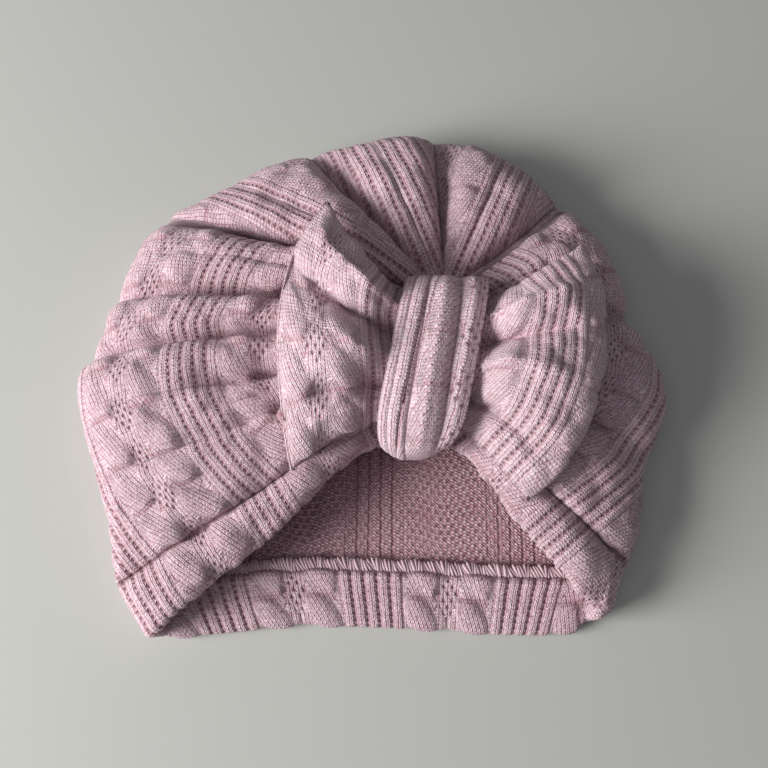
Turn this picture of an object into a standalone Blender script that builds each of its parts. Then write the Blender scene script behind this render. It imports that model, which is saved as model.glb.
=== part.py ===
# A knitted turban headwrap for a baby, lying on its back with the bow upward.
# X runs across the face, Y from the face opening to the top of the crown, Z up from
# the surface that it lies on. The origin is the middle of the flat resting face.
# All sizes are in metres.

import math

import bmesh
import bpy
import numpy as np
from mathutils.kdtree import KDTree

# Overall sizes of the crown as it lies
CROWN_WIDTH = 0.212
CROWN_LENGTH = 0.186
CROWN_PUFF = 0.034
CORNER_PUFF = 0.025

# Cloth and hem
CLOTH = 0.0018
HEM_DEPTH = 0.019
HEM_GROOVE = 0.0014
HEM_FOLD_GAP = 0.0012
APEX_SWELL = 0.0052
APEX_SWELL_PLACE = 0.15
OVERLOCK_THICKNESS = 0.0028
OVERLOCK_SEAT = 0.0009

# The rolled edge where the upper layer turns under
SIDE_ROLL_HEIGHT = 0.0110
CORNER_ROLL_HEIGHT = 0.0090
ROLL_INSET = 0.009
BACK_BEND = 0.30
BACK_AIM = 0.06
SHOULDER = 0.039

# The gather that pulls the whole front of the crown together under the bow
GATHER_LENGTH = 0.055
GATHER_HALF_WIDTH = 0.006
GATHER_DIP = 0.0095
GATHER_DIP_REACH = 0.023
GATHER_PIT = 0.0065
GATHER_PIT_REACH = 0.012
GATHER_X = 0.0215
GATHER_Y = 0.0018
GATHER_LEAN = 0.011
HEM_DROOP = 0.002
HEM_DROOP_REACH = 0.016

# The bow, a flattened ring of doubled cloth
BOW_CLOTH = 0.0026
BOW_PUFF = 0.0195
BOW_WAIST_PUFF = 0.0135
BOW_WAIST_LENGTH = 0.037
BOW_Y = 0.0000
BOW_SPREAD = 1.8
BOW_EDGE_PUFF_SHARE = 0.62
BOW_LEFT_REACH = 0.052
BOW_RIGHT_REACH = 0.060
BOW_RISE = 0.020
BOW_LENGTH = 0.096

# The wrap round the waist of the bow and the front of the hem
KNOT_WIDTH = 0.0285
KNOT_CLOTH = 0.0028
KNOT_SIDE_DROP = 0.0026
KNOT_SQUARENESS = 3.0
KNOT_START = 243.0
KNOT_END = -6.0
KNOT_UPPER_REACH = 0.0272
KNOT_LOWER_REACH = 0.0340
KNOT_UNDER = 0.0052
KNOT_TUCK_SHARE = 0.75

# Clearances between pieces
BOW_SEAT = 0.0007
KNOT_SEAT = 0.0008

# Mesh densities
WELD = 0.00005
COLUMNS = 60
HEM_LINES = 2
FOLD_STEPS = 3
TOP_ROWS = 14
BACK_ROWS = 5
OUTLINE_STEPS = 240
BOW_STATIONS = 8
BOW_LINES = 18
KNOT_STATIONS = 20
KNOT_LINES = 10

KNIT_PINK = (0.62, 0.40, 0.42, 1.0)
HEM_PINK = (0.58, 0.37, 0.39, 1.0)
BOW_PINK = (0.66, 0.43, 0.45, 1.0)
KNOT_PINK = (0.64, 0.42, 0.44, 1.0)

# The outline from above, from the left corner of the opening round the top to the
# right corner. Each row: place, share of half the width, share of half the length.
OUTLINE = (
    ("left corner", -0.73, -0.99),
    ("left hem end", -0.83, -0.80),
    ("left side low", -0.87, -0.57),
    ("left side", -0.965, -0.24),
    ("left bulge", -1.00, -0.03),
    ("left notch", -0.94, 0.11),
    ("left shoulder low", -0.88, 0.35),
    ("left shoulder", -0.76, 0.61),
    ("left shoulder high", -0.59, 0.725),
    ("top left notch", -0.28, 0.91),
    ("top left", -0.08, 0.955),
    ("top", 0.14, 1.00),
    ("top right", 0.43, 0.925),
    ("right shoulder high", 0.67, 0.71),
    ("right shoulder", 0.84, 0.46),
    ("right notch", 0.89, 0.24),
    ("right bulge", 1.00, -0.09),
    ("right side", 0.91, -0.40),
    ("right side low", 0.865, -0.68),
    ("right hem end", 0.76, -0.925),
)

# The edge of the back hem between the two ends of the outline. Columns as above.
BACK_EDGE = (
    ("left corner", -0.73, -0.99),
    ("left", -0.52, -0.965),
    ("middle left", -0.22, -0.935),
    ("middle right", 0.12, -0.945),
    ("right", 0.42, -0.965),
    ("right bend", 0.63, -0.965),
    ("right hem end", 0.76, -0.925),
)

# The creases that fan out from the gather. Each row: name, place on the outline,
# place round the gather, sideways bend, depth near the gather, halfway and at the
# outline, and width. Places are shares of the whole way round, the bend is a share of
# the half width, depths are shares of the crown's puff and widths of the way round.
CREASES = (
    ("brow left", 0.110, 0.215, 0.00, 0.12, 0.04, 0.00, 0.016),
    ("side left lowest", 0.160, 0.265, 0.00, 0.28, 0.05, 0.00, 0.013),
    ("side left low", 0.205, 0.320, 0.030, 0.34, 0.29, 0.13, 0.015),
    ("side left", 0.255, 0.375, 0.025, 0.38, 0.33, 0.15, 0.015),
    ("side left high", 0.326, 0.440, 0.015, 0.38, 0.34, 0.16, 0.016),
    ("top left", 0.452, 0.478, -0.020, 0.32, 0.36, 0.16, 0.018),
    ("top middle", 0.552, 0.498, 0.000, 0.32, 0.33, 0.12, 0.017),
    ("top right", 0.664, 0.522, 0.020, 0.34, 0.36, 0.15, 0.019),
    ("side right high", 0.770, 0.640, 0.000, 0.26, 0.28, 0.18, 0.017),
    ("side right", 0.880, 0.740, 0.010, 0.15, 0.16, 0.06, 0.018),
)

# The outer ends of the bow. Each row: place across the bow from its lower edge to its
# upper edge, reach to the left, rise of the left end, reach to the right and rise of the
# right end. Reaches and rises are shares of the bow's reach on that side and its length.
BOW_ENDS = (
    (0.00, 0.92, -0.40, 0.52, -0.51),
    (0.18, 0.96, -0.27, 0.76, -0.35),
    (0.38, 1.00, -0.05, 0.91, -0.12),
    (0.60, 1.00, 0.15, 0.96, 0.09),
    (0.80, 0.93, 0.36, 0.96, 0.26),
    (1.00, 0.72, 0.575, 0.87, 0.42),
)

# The folds pressed into the upper side of the bow. Each row: side, place across at the
# waist, place across at the end, depth beside the wrap, depth at the end, width.
# Depths are shares of the bow's puff, and places and widths of its breadth.
BOW_FOLDS = (
    ("left", 0.62, 0.80, 0.32, 0.10, 0.110),
    ("left", 0.33, 0.36, 0.20, 0.02, 0.100),
    ("right", 0.66, 0.60, 0.34, 0.06, 0.110),
    ("right", 0.24, 0.10, 0.24, 0.04, 0.100),
)

# The pleats along the wrap. Each row: place across the top end, place across the
# lower end, depth at the top end, depth at the lower end, width.
# Places and widths are shares of the wrap's width, depths of its thickness.
KNOT_PLEATS = (
    (0.20, 0.30, 0.30, 0.55, 0.055),
    (0.42, 0.52, 0.25, 0.45, 0.050),
    (0.68, 0.66, 1.05, 0.20, 0.060),
)


def clear_scene():
    for obj in list(bpy.data.objects):
        bpy.data.objects.remove(obj)


def collection_named(name):
    collection = bpy.data.collections.new(name)
    bpy.context.scene.collection.children.link(collection)
    return collection


def cloth_material(name, colour):
    material = bpy.data.materials.new(name)
    material.use_nodes = True
    shader = material.node_tree.nodes["Principled BSDF"]
    shader.inputs["Base Color"].default_value = colour
    shader.inputs["Roughness"].default_value = 0.92
    shader.inputs["Metallic"].default_value = 0.0
    material.diffuse_color = colour
    return material


def ease(share):
    """0 to 1 with a level start and end."""
    share = np.clip(share, 0.0, 1.0)
    return share * share * (3.0 - 2.0 * share)


def round_off(share):
    """The height of a quarter circle: 0 at its edge, 1 where it levels out."""
    return np.sqrt(np.maximum(1.0 - (1.0 - np.clip(share, 0.0, 1.0)) ** 2, 0.0))


def curve_through(places, values, at):
    """A smooth curve through rows of values, read at one or more places."""
    places, values = np.asarray(places, float), np.asarray(values, float)
    slopes = np.gradient(values, places)
    at = np.clip(at, places[0], places[-1])
    low = np.clip(np.searchsorted(places, at, side="right") - 1, 0, len(places) - 2)
    span = places[low + 1] - places[low]
    t = (at - places[low]) / span
    start = (1.0 + 2.0 * t) * (1.0 - t) ** 2 * values[low]
    end = t * t * (3.0 - 2.0 * t) * values[low + 1]
    start_slope = t * (1.0 - t) ** 2 * span * slopes[low]
    end_slope = t * t * (t - 1.0) * span * slopes[low + 1]
    return start + end + start_slope + end_slope


def column(rows, index):
    return [row[index] for row in rows]


def crease(distance):
    """The cross-section of a crease: 1 on its line, falling to 0 on both sides."""
    softened = np.sqrt(distance**2 + 0.06)
    return np.exp(-(softened**1.4))


# The plan of the crown
def outline_curve():
    """Points along the outline, evenly spaced, with their shares of the way round."""
    rows = np.linspace(0.0, 1.0, len(OUTLINE))
    fine = np.linspace(0.0, 1.0, OUTLINE_STEPS * 4)
    x = curve_through(rows, column(OUTLINE, 1), fine) * CROWN_WIDTH / 2
    y = curve_through(rows, column(OUTLINE, 2), fine) * CROWN_LENGTH / 2
    run = np.concatenate([[0.0], np.cumsum(np.hypot(np.diff(x), np.diff(y)))])
    even = np.linspace(0.0, run[-1], OUTLINE_STEPS)
    points = np.stack([np.interp(even, run, x), np.interp(even, run, y)], axis=-1)
    return points, even / run[-1], run[-1]


OUTLINE_POINTS, OUTLINE_SHARES, OUTLINE_RUN = outline_curve()
GROOVE_SHARE = HEM_DEPTH / OUTLINE_RUN


def on_outline(share):
    x = np.interp(share, OUTLINE_SHARES, OUTLINE_POINTS[:, 0])
    y = np.interp(share, OUTLINE_SHARES, OUTLINE_POINTS[:, 1])
    return np.stack([x, y], axis=-1)


BACK_EDGE_PLACES = np.linspace(0.0, 1.0, len(BACK_EDGE))


def on_back_edge(across):
    x = curve_through(BACK_EDGE_PLACES, column(BACK_EDGE, 1), across)
    y = curve_through(BACK_EDGE_PLACES, column(BACK_EDGE, 2), across)
    return np.stack([x * CROWN_WIDTH / 2, y * CROWN_LENGTH / 2], axis=-1)


def distance_to_path(points, path):
    """The distance of each point from a line of straight stretches, in plan."""
    flat = points.reshape(-1, 1, 2)
    start, along = path[:-1], np.diff(path, axis=0)
    length = np.maximum((along**2).sum(-1), 1e-12)
    share = np.clip(((flat - start) * along).sum(-1) / length, 0.0, 1.0)
    nearest = start + along * share[..., None]
    return np.sqrt(((flat - nearest) ** 2).sum(-1)).min(1).reshape(points.shape[:-1])


def gather_ends():
    """The lower and upper end of the gather's middle line, in plan."""
    half = np.array([GATHER_LEAN / 2, GATHER_LENGTH / 2])
    middle = np.array([GATHER_X, GATHER_Y])
    return middle - half, middle + half


def round_gather(share):
    """A point of the narrow slot round the gather, from its lower left end, over the
    top and down to its lower right end."""
    low, high = gather_ends()
    share = np.asarray(share, float)
    sides = (1.0 - 0.08) / 2
    left = np.clip(share / sides, 0.0, 1.0)
    right = np.clip((1.0 - share) / sides, 0.0, 1.0)
    turn = math.pi * (1.0 - np.clip((share - sides) / (1.0 - 2 * sides), 0.0, 1.0))
    up = np.where(share < 0.5, left, right)
    middle = low + (high - low) * up[..., None]
    offset = np.stack([np.cos(turn), np.sin(turn)], axis=-1) * GATHER_HALF_WIDTH
    return middle + offset


def gather_place(outline_share):
    """Where round the gather the column starts that ends at a share of the outline."""
    groove_place = 0.10
    ends = [0.0, *column(CREASES, 1), 1.0]
    places = [0.0, *column(CREASES, 2), 1.0]
    ends[1:1], places[1:1] = [GROOVE_SHARE], [groove_place]
    ends[-1:-1], places[-1:-1] = [1.0 - GROOVE_SHARE], [1.0 - groove_place]
    return np.interp(outline_share, ends, places)


def edge_nearness(outline_share):
    """1 at the front hem's left edge, falling to 0 well above its stitch line."""
    return 1.0 - ease(outline_share / (3.0 * GROOVE_SHARE))


def upper_plan(outline_share, reach):
    """Plan of the upper layer: reach is 0 at the gather and 1 at the outline."""
    start = round_gather(gather_place(outline_share))
    end = on_outline(outline_share)
    ends = [0.0, *column(CREASES, 1), 1.0]
    bends = [0.0, *column(CREASES, 3), 0.0]
    bend = np.interp(outline_share, ends, bends) * CROWN_WIDTH / 2
    along = end - start
    length = np.maximum(np.hypot(along[..., 0], along[..., 1]), 1e-9)[..., None]
    sideways = np.stack([along[..., 1], -along[..., 0]], axis=-1) / length
    early = reach / APEX_SWELL_PLACE
    apex = APEX_SWELL * early * np.exp(1.0 - early) * (1.0 - reach)
    apex = apex * (edge_nearness(outline_share) - edge_nearness(1.0 - outline_share))
    swell = (np.sin(math.pi * reach) * bend + apex)[..., None]
    return start + along * reach[..., None] + sideways * swell


def back_plan(across, up):
    """Plan of the back hem: across from the left to the right corner, up from the
    edge to the hem's stitch line."""
    left = on_outline(GROOVE_SHARE * up) - on_outline(0.0)
    right = on_outline(1.0 - GROOVE_SHARE * up) - on_outline(1.0)
    return on_back_edge(across) + left + (right - left) * across[..., None]


# The heights of the crown
def roll_height(y):
    """The height of the outline above the floor, lower at the corners."""
    share = ease((y / (CROWN_LENGTH / 2) + 1.0) / 0.55)
    return CORNER_ROLL_HEIGHT + (SIDE_ROLL_HEIGHT - CORNER_ROLL_HEIGHT) * share


def upper_height(points):
    """The smooth height of the upper layer, before creases, at points in plan."""
    y = points[..., 1]
    rise = ease((y / (CROWN_LENGTH / 2) + 0.85) / 0.95)
    puff = CORNER_PUFF + (CROWN_PUFF - CORNER_PUFF) * rise
    inward = distance_to_path(points, OUTLINE_POINTS)
    edge = roll_height(y)
    height = edge + (puff - edge) * round_off(inward / SHOULDER)
    low, high = gather_ends()
    to_gather = distance_to_path(points, np.array([low, high])) - GATHER_HALF_WIDTH
    to_gather = np.maximum(to_gather, 0.0)
    to_pit = np.hypot(points[..., 0] - high[0], points[..., 1] - high[1])
    to_pit = np.maximum(to_pit - GATHER_HALF_WIDTH, 0.0)
    dip = GATHER_DIP * np.exp(-((to_gather / GATHER_DIP_REACH) ** 2))
    pit = GATHER_PIT * np.exp(-((to_pit / GATHER_PIT_REACH) ** 2))
    height = height - (dip + pit) * ease(inward / SHOULDER)
    brim = np.array([OUTLINE_POINTS[0], low, OUTLINE_POINTS[-1]])
    to_brim = distance_to_path(points, brim)
    droop = HEM_DROOP * np.exp(-((to_brim / HEM_DROOP_REACH) ** 2))
    return height - droop * ease(inward / SHOULDER)


def crease_depth(outline_share, reach):
    """How far the creases press the upper layer down."""
    depth = np.zeros(np.broadcast(outline_share, reach).shape)
    stations = (0.0, 0.12, 0.40, 0.72, 1.0)
    for _, place, _, _, near, middle, rim, width in CREASES:
        levels = (0.0, 0.30 * near, near, middle, rim)
        along = curve_through(stations, levels, reach)
        depth += along * crease((outline_share - place) / width)
    return depth * CROWN_PUFF


def groove_depth(outline_share, reach):
    """The stitched groove between the crown and the turned hem."""
    from_end = np.minimum(outline_share, 1.0 - outline_share)
    width = 0.35 * GROOVE_SHARE
    fade = ease(reach / 0.2) * ease((1.0 - reach) / 0.1)
    return HEM_GROOVE * crease((from_end - GROOVE_SHARE) / width) * fade


def upper_layer(outline_share, reach):
    """Points of the upper layer's outside."""
    plan = upper_plan(outline_share, reach)
    height = upper_height(plan) - crease_depth(outline_share, reach)
    height = height - groove_depth(outline_share, reach)
    return np.concatenate([plan, height[..., None]], axis=-1)


def lower_height(points):
    """The underside: flat on the floor, with a round turn up to the outline."""
    inward = distance_to_path(points, OUTLINE_POINTS)
    edge = roll_height(points[..., 1])
    return edge * (1.0 - round_off(inward / ROLL_INSET))


def lower_layer(outline_share, reach):
    """Points of the back's outside, reach 0 at the outline and 1 at the stitch line
    of the back hem."""
    start = on_outline(outline_share)
    across = (outline_share - GROOVE_SHARE) / (1.0 - 2.0 * GROOVE_SHARE)
    end = back_plan(across, np.ones_like(across))
    along = on_outline(outline_share + BACK_AIM) - on_outline(outline_share - BACK_AIM)
    length = np.hypot(along[..., 0], along[..., 1])[..., None]
    inward = np.stack([along[..., 1], -along[..., 0]], axis=-1) / length
    span = np.hypot(*np.moveaxis(end - start, -1, 0))[..., None]
    bend = start + inward * BACK_BEND * span
    t = reach[..., None]
    plan = start * (1.0 - t) ** 2 + bend * 2.0 * t * (1.0 - t) + end * t**2
    fade = 1.0 - ease(distance_to_path(plan, OUTLINE_POINTS) / ROLL_INSET)
    fade = fade * (1.0 - ease(reach))
    edge = crease_depth(outline_share, np.ones_like(reach)) * fade
    height = np.maximum(lower_height(plan) - edge, 0.0)
    return np.concatenate([plan, height[..., None]], axis=-1)


def back_hem(across, up):
    """Points of the back hem's outside, up 0 at the edge and 1 at the stitch line."""
    plan = back_plan(across, up)
    height = lower_height(plan)
    return np.concatenate([plan, height[..., None]], axis=-1)


# Sheets of cloth from grids
def add_grid(bm, columns, rows, place):
    """A grid of columns by rows cells, whose corners go where place(u, v) says."""
    made = bmesh.ops.create_grid(bm, x_segments=columns, y_segments=rows, size=0.5)
    corners = made["verts"]
    flat = np.array([[v.co.x + 0.5, v.co.y + 0.5] for v in corners])
    u = np.round(flat[:, 0] * columns) / columns
    v = np.round(flat[:, 1] * rows) / rows
    for vertex, point in zip(corners, place(u, v)):
        vertex.co = [float(c) for c in point]


def face_up_at_top(bm):
    """Turns all faces the same way, with the highest one facing up."""
    bmesh.ops.recalc_face_normals(bm, faces=bm.faces[:])
    highest = max(bm.faces, key=lambda face: face.calc_center_median().z)
    if highest.normal.z < 0:
        bmesh.ops.reverse_faces(bm, faces=bm.faces[:])


def object_from(bm, name, collection, material):
    mesh = bpy.data.meshes.new(name)
    bm.to_mesh(mesh)
    bm.free()
    mesh.shade_smooth()
    mesh.materials.append(material)
    obj = bpy.data.objects.new(name, mesh)
    collection.objects.link(obj)
    return obj


def thicken(obj, thickness):
    """Gives the sheet its wall on the inner side."""
    wall = obj.modifiers.new("wall", "SOLIDIFY")
    wall.thickness = thickness
    wall.offset = -1.0
    wall.use_quality_normals = True


def end_to_end(share):
    """Spaces columns closer together towards both ends."""
    return 0.82 * share + 0.18 * (0.5 - 0.5 * np.cos(math.pi * share))


def outline_share_of(u):
    """The outline share of a column between the two hem grooves."""
    return GROOVE_SHARE + end_to_end(u) * (1.0 - 2.0 * GROOVE_SHARE)


def reach_of(v):
    """Rows of the upper layer, closer together at the outline."""
    return 0.3 * v + 0.7 * np.sin(0.5 * math.pi * v)


def fall_of(v):
    """Rows of the back, closer together at the outline."""
    return v**1.7


def add_points(bm, points):
    """A sheet of cells whose corners are a table of points."""
    columns, rows = points.shape[0] - 1, points.shape[1] - 1

    def place(u, v):
        column_number = np.round(u * columns).astype(int)
        row_number = np.round(v * rows).astype(int)
        return points[column_number, row_number]

    add_grid(bm, columns, rows, place)


def hem_outside():
    """The hem's outside: a row of points from the edge to the stitch line, for each
    place round the opening, from the gather by the left corner, the back and the right
    corner to the gather again."""
    lines = np.linspace(0.0, 1.0, HEM_LINES + 1)
    reach, line = np.meshgrid(reach_of(np.linspace(0.0, 1.0, TOP_ROWS + 1)), lines)
    left = upper_layer(line.T * GROOVE_SHARE, reach.T)
    right = upper_layer(1.0 - line.T * GROOVE_SHARE, reach.T)
    across, line = np.meshgrid(end_to_end(np.linspace(0.0, 1.0, COLUMNS + 1)), lines)
    back = back_hem(across.T, line.T)
    return np.concatenate([left, back[1:], right[::-1][1:]])


def normals_at(bm, points):
    """The directions out of the cloth at the corners of a sheet nearest to points."""
    bm.normal_update()
    finder = KDTree(len(bm.verts))
    normals = []
    for number, vertex in enumerate(bm.verts):
        finder.insert(vertex.co, number)
        normals.append(tuple(vertex.normal))
    finder.balance()
    flat = points.reshape(-1, 3)
    found = [normals[finder.find([float(c) for c in point])[1]] for point in flat]
    found = np.array(found).reshape(points.shape)
    found = found * 2.0 + np.roll(found, 1, axis=0) + np.roll(found, -1, axis=0)
    return found / np.linalg.norm(found, axis=-1, keepdims=True)


def turned_hem(outside, normal):
    """The cloth from the edge of the opening round the fold and back inside."""
    radius = CLOTH + HEM_FOLD_GAP / 2
    edge, up = outside[:, 0], normal[:, 0]
    out = edge - outside[:, 1]
    out = out - up * (out * up).sum(-1, keepdims=True)
    out = out / np.linalg.norm(out, axis=-1, keepdims=True)
    rows = [edge]
    for step in range(1, FOLD_STEPS):
        angle = math.pi * step / FOLD_STEPS
        lift = up * (math.cos(angle) - 1.0) + out * math.sin(angle)
        rows.append(edge + lift * radius)
    inner = outside - normal * 2.0 * radius
    rows.extend(inner[:, line] for line in range(HEM_LINES + 1))
    sheet = np.stack(rows, axis=1)
    return np.concatenate([sheet, sheet[:1]])


def crown_outside():
    """The crown's outside as a sheet, without the cloth that is turned in."""
    bm = bmesh.new()

    def upper(u, v):
        return upper_layer(outline_share_of(u), reach_of(v))

    def lower(u, v):
        return lower_layer(outline_share_of(u), fall_of(v))

    add_grid(bm, COLUMNS, TOP_ROWS, upper)
    add_grid(bm, COLUMNS, BACK_ROWS, lower)
    add_points(bm, hem_outside())
    add_gather_seam(bm)
    bmesh.ops.remove_doubles(bm, verts=bm.verts[:], dist=WELD)
    face_up_at_top(bm)
    return bm


def add_gather_seam(bm):
    """Closes the slot of the gather, where the left and right folds are sewn."""
    shares = np.concatenate(
        [
            np.linspace(0.0, GROOVE_SHARE, HEM_LINES + 1)[:-1],
            outline_share_of(np.linspace(0.0, 0.5, COLUMNS // 2 + 1)),
        ]
    )
    start = np.zeros_like(shares)
    left = upper_layer(shares, start)
    right = upper_layer(1.0 - shares, start)
    add_points(bm, np.stack([left, right], axis=1))


def make_crown(collection, material):
    """One sheet: upper layer, rolled outline, back, and the hem turned inside."""
    bm = crown_outside()
    outside = hem_outside()
    add_points(bm, turned_hem(outside, normals_at(bm, outside)))
    bmesh.ops.remove_doubles(bm, verts=bm.verts[:], dist=WELD)
    face_up_at_top(bm)
    crown = object_from(bm, "crown", collection, material)
    thicken(crown, CLOTH)
    return crown


def make_overlock(collection, material):
    """The cord of thread sewn over the raw edge of the turned-in cloth."""
    bm = crown_outside()
    outside = hem_outside()
    normal = normals_at(bm, outside)[:, -1]
    bm.free()
    inward = outside[:, -1] - outside[:, -2]
    inward = inward / np.linalg.norm(inward, axis=-1, keepdims=True)
    radius = OVERLOCK_THICKNESS / 2
    path = outside[:, -1] + inward * (OVERLOCK_SEAT + radius)
    path = path - normal * (CLOTH + OVERLOCK_SEAT + radius)
    curve = bpy.data.curves.new("hem_overlock", "CURVE")
    curve.dimensions = "3D"
    spline = curve.splines.new("POLY")
    spline.points.add(len(path) - 1)
    for point, place in zip(spline.points, path):
        point.co = (*[float(c) for c in place], 1.0)
    spline.use_cyclic_u = True
    curve.bevel_depth = radius
    curve.bevel_resolution = 1
    curve.materials.append(material)
    cord = bpy.data.objects.new("hem_overlock", curve)
    collection.objects.link(cord)
    return cord


# The bow
def knot_axis(y):
    """The middle line of the knot, leaning as the gather does."""
    slope = GATHER_LEAN / GATHER_LENGTH
    return GATHER_X + slope * (y - GATHER_Y)


def bow_plan(side, across, reach):
    """Plan of one half of the bow: reach is 0 at the waist and 1 at its outer end."""
    places = column(BOW_ENDS, 0)
    left = side == "left"
    sign = -1.0 if left else 1.0
    far = BOW_LEFT_REACH if left else BOW_RIGHT_REACH
    out = curve_through(places, column(BOW_ENDS, 1 if left else 3), across) * far
    rise = curve_through(places, column(BOW_ENDS, 2 if left else 4), across)
    waist_y = BOW_Y + (across - 0.5) * BOW_WAIST_LENGTH
    end = np.stack([GATHER_X + sign * out, BOW_Y + rise * BOW_LENGTH], axis=-1)
    waist = np.stack([knot_axis(waist_y), waist_y], axis=-1)
    spread = np.stack([reach, reach**BOW_SPREAD], axis=-1)
    return waist + (end - waist) * spread


def waist_floor():
    """The height of the crown under the middle of the bow."""
    return float(upper_height(np.array([GATHER_X, GATHER_Y])))


def bow_layers(across, plan):
    """The heights of the bow's lower and upper outside."""
    from_axis = np.abs(plan[..., 0] - knot_axis(plan[..., 1]))
    clear = ease((from_axis - KNOT_WIDTH / 2) / BOW_RISE)
    belly = np.sin(math.pi * np.clip(across, 0.0, 1.0))
    full = BOW_PUFF * (BOW_EDGE_PUFF_SHARE + (1.0 - BOW_EDGE_PUFF_SHARE) * belly)
    base = upper_height(plan) + BOW_SEAT
    waist = waist_floor() + BOW_SEAT + BOW_WAIST_PUFF * (0.58 + 0.42 * belly)
    return base, waist + (base + full - waist) * clear


def bow_fold_depth(side, across, reach):
    depth = np.zeros(np.broadcast(across, reach).shape)
    for fold_side, at_waist, at_end, near, far, width in BOW_FOLDS:
        if fold_side != side:
            continue
        place = at_waist + (at_end - at_waist) * reach
        along = near + (far - near) * ease((reach - 0.35) / 0.6)
        start = ease((reach - 0.12) / 0.22)
        depth += along * start * crease((across - place) / width)
    return depth * BOW_PUFF


def bow_half(side, across, turn):
    """Points of one half of the bow. Turn runs from 0, under the waist, over the outer
    end at 0.5, to 1, on top of the waist."""
    level = 2.0 * turn - 1.0
    reach = 1.0 - np.abs(level) ** 1.6
    plan = bow_plan(side, across, reach)
    base, top = bow_layers(across, plan)
    closing = round_off((1.0 - reach) / 0.30)
    above = np.where(level > 0, bow_fold_depth(side, across, reach), 0.0)
    middle, half = (base + top) / 2, (top - base) / 2
    height = middle + np.sign(level) * half * closing - above * closing
    return np.concatenate([plan, height[..., None]], axis=-1)


def make_bow(collection, material):
    """A flattened ring: the lower layer lies on the crown, the ends fold over and the
    upper layer comes back, and both layers are gathered at the waist."""
    bm = bmesh.new()

    def left(u, v):
        return bow_half("left", u, v)

    def right(u, v):
        return bow_half("right", u, v)

    add_grid(bm, BOW_LINES, 2 * BOW_STATIONS, left)
    add_grid(bm, BOW_LINES, 2 * BOW_STATIONS, right)
    bmesh.ops.remove_doubles(bm, verts=bm.verts[:], dist=WELD)
    face_up_at_top(bm)
    bow = object_from(bm, "bow", collection, material)
    thicken(bow, BOW_CLOTH)
    return bow


# The wrap
def knot_path(turn, drop):
    """A point of the wrap's middle line, seen from the side: turn runs from 0, inside
    the opening, round the hem's edge and over the bow, to 1, at the top of the gather.
    Drop is how far the wrap's sides hang below its middle."""
    low, high = gather_ends()
    hem = 2.0 * CLOTH + HEM_FOLD_GAP
    under = float(upper_height(low)) - hem - KNOT_UNDER - KNOT_CLOTH / 2
    over = waist_floor() + BOW_SEAT + BOW_WAIST_PUFF + KNOT_SEAT
    over = over + KNOT_CLOTH / 2 + drop
    middle, half_rise = (over + under) / 2, (over - under) / 2
    start, end = math.radians(KNOT_START), math.radians(KNOT_END)
    angle = start + turn * (end - start)
    power = 2.0 / KNOT_SQUARENESS
    run = np.sign(np.cos(angle)) * np.abs(np.cos(angle)) ** power
    rise = np.sign(np.sin(angle)) * np.abs(np.sin(angle)) ** power
    reach = np.where(run > 0, KNOT_UPPER_REACH, KNOT_LOWER_REACH)
    return GATHER_Y + reach * run, middle + half_rise * rise


def knot_pleat_depth(across, turn):
    depth = np.zeros(np.broadcast(across, turn).shape)
    for at_top, at_low, top_depth, low_depth, width in KNOT_PLEATS:
        place = at_low + (at_top - at_low) * turn
        along = low_depth + (top_depth - low_depth) * ease((turn - 0.3) / 0.6)
        depth += along * crease((across - place) / width)
    return depth * KNOT_CLOTH * ease((turn - 0.25) / 0.15)


def knot_point(across, turn):
    y, z = knot_path(turn, KNOT_SIDE_DROP)
    full = ease((turn - 0.2) / 0.22) * ease((1.0 - turn) / 0.12)
    tuck = KNOT_TUCK_SHARE + (1.0 - KNOT_TUCK_SHARE) * full
    side = (across - 0.5) * KNOT_WIDTH * tuck
    x = knot_axis(y) + side
    topside = ease((z - upper_height(gather_ends()[0])) / BOW_WAIST_PUFF)
    curl = KNOT_SIDE_DROP * (2.0 * np.abs(across - 0.5)) ** 2.2 * topside
    height = z - curl - knot_pleat_depth(across, turn) * topside
    return np.stack([x, y, height], axis=-1)


def make_knot_wrap(collection, material):
    """A pleated strip bent round the bow's waist and the hem's edge."""
    bm = bmesh.new()
    add_grid(bm, KNOT_LINES, KNOT_STATIONS, knot_point)
    face_up_at_top(bm)
    wrap = object_from(bm, "knot_wrap", collection, material)
    wall = wrap.modifiers.new("wall", "SOLIDIFY")
    wall.thickness = KNOT_CLOTH
    wall.offset = 0.0
    wall.use_even_offset = True
    return wrap


def build():
    clear_scene()
    turban = collection_named("turban_headwrap")
    make_crown(turban, cloth_material("crown_knit", KNIT_PINK))
    make_overlock(turban, cloth_material("overlock_thread", HEM_PINK))
    make_bow(turban, cloth_material("bow_knit", BOW_PINK))
    make_knot_wrap(turban, cloth_material("knot_knit", KNOT_PINK))


build()
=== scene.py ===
# %% [markdown]
# # A baby's knitted turban, lying on its back
#
# The real hat is soft cloth: one knitted cap whose front is gathered together under a bow.
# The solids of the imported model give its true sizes. This script loads them as a fixed frame
# and makes the cloth around them, in the same place, at the fineness of the knit. A cloth
# simulation could lay the folds, but not where the photo has them, nor twice the same. So
# every fold is worked out by formula, from a row in a short table.

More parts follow.
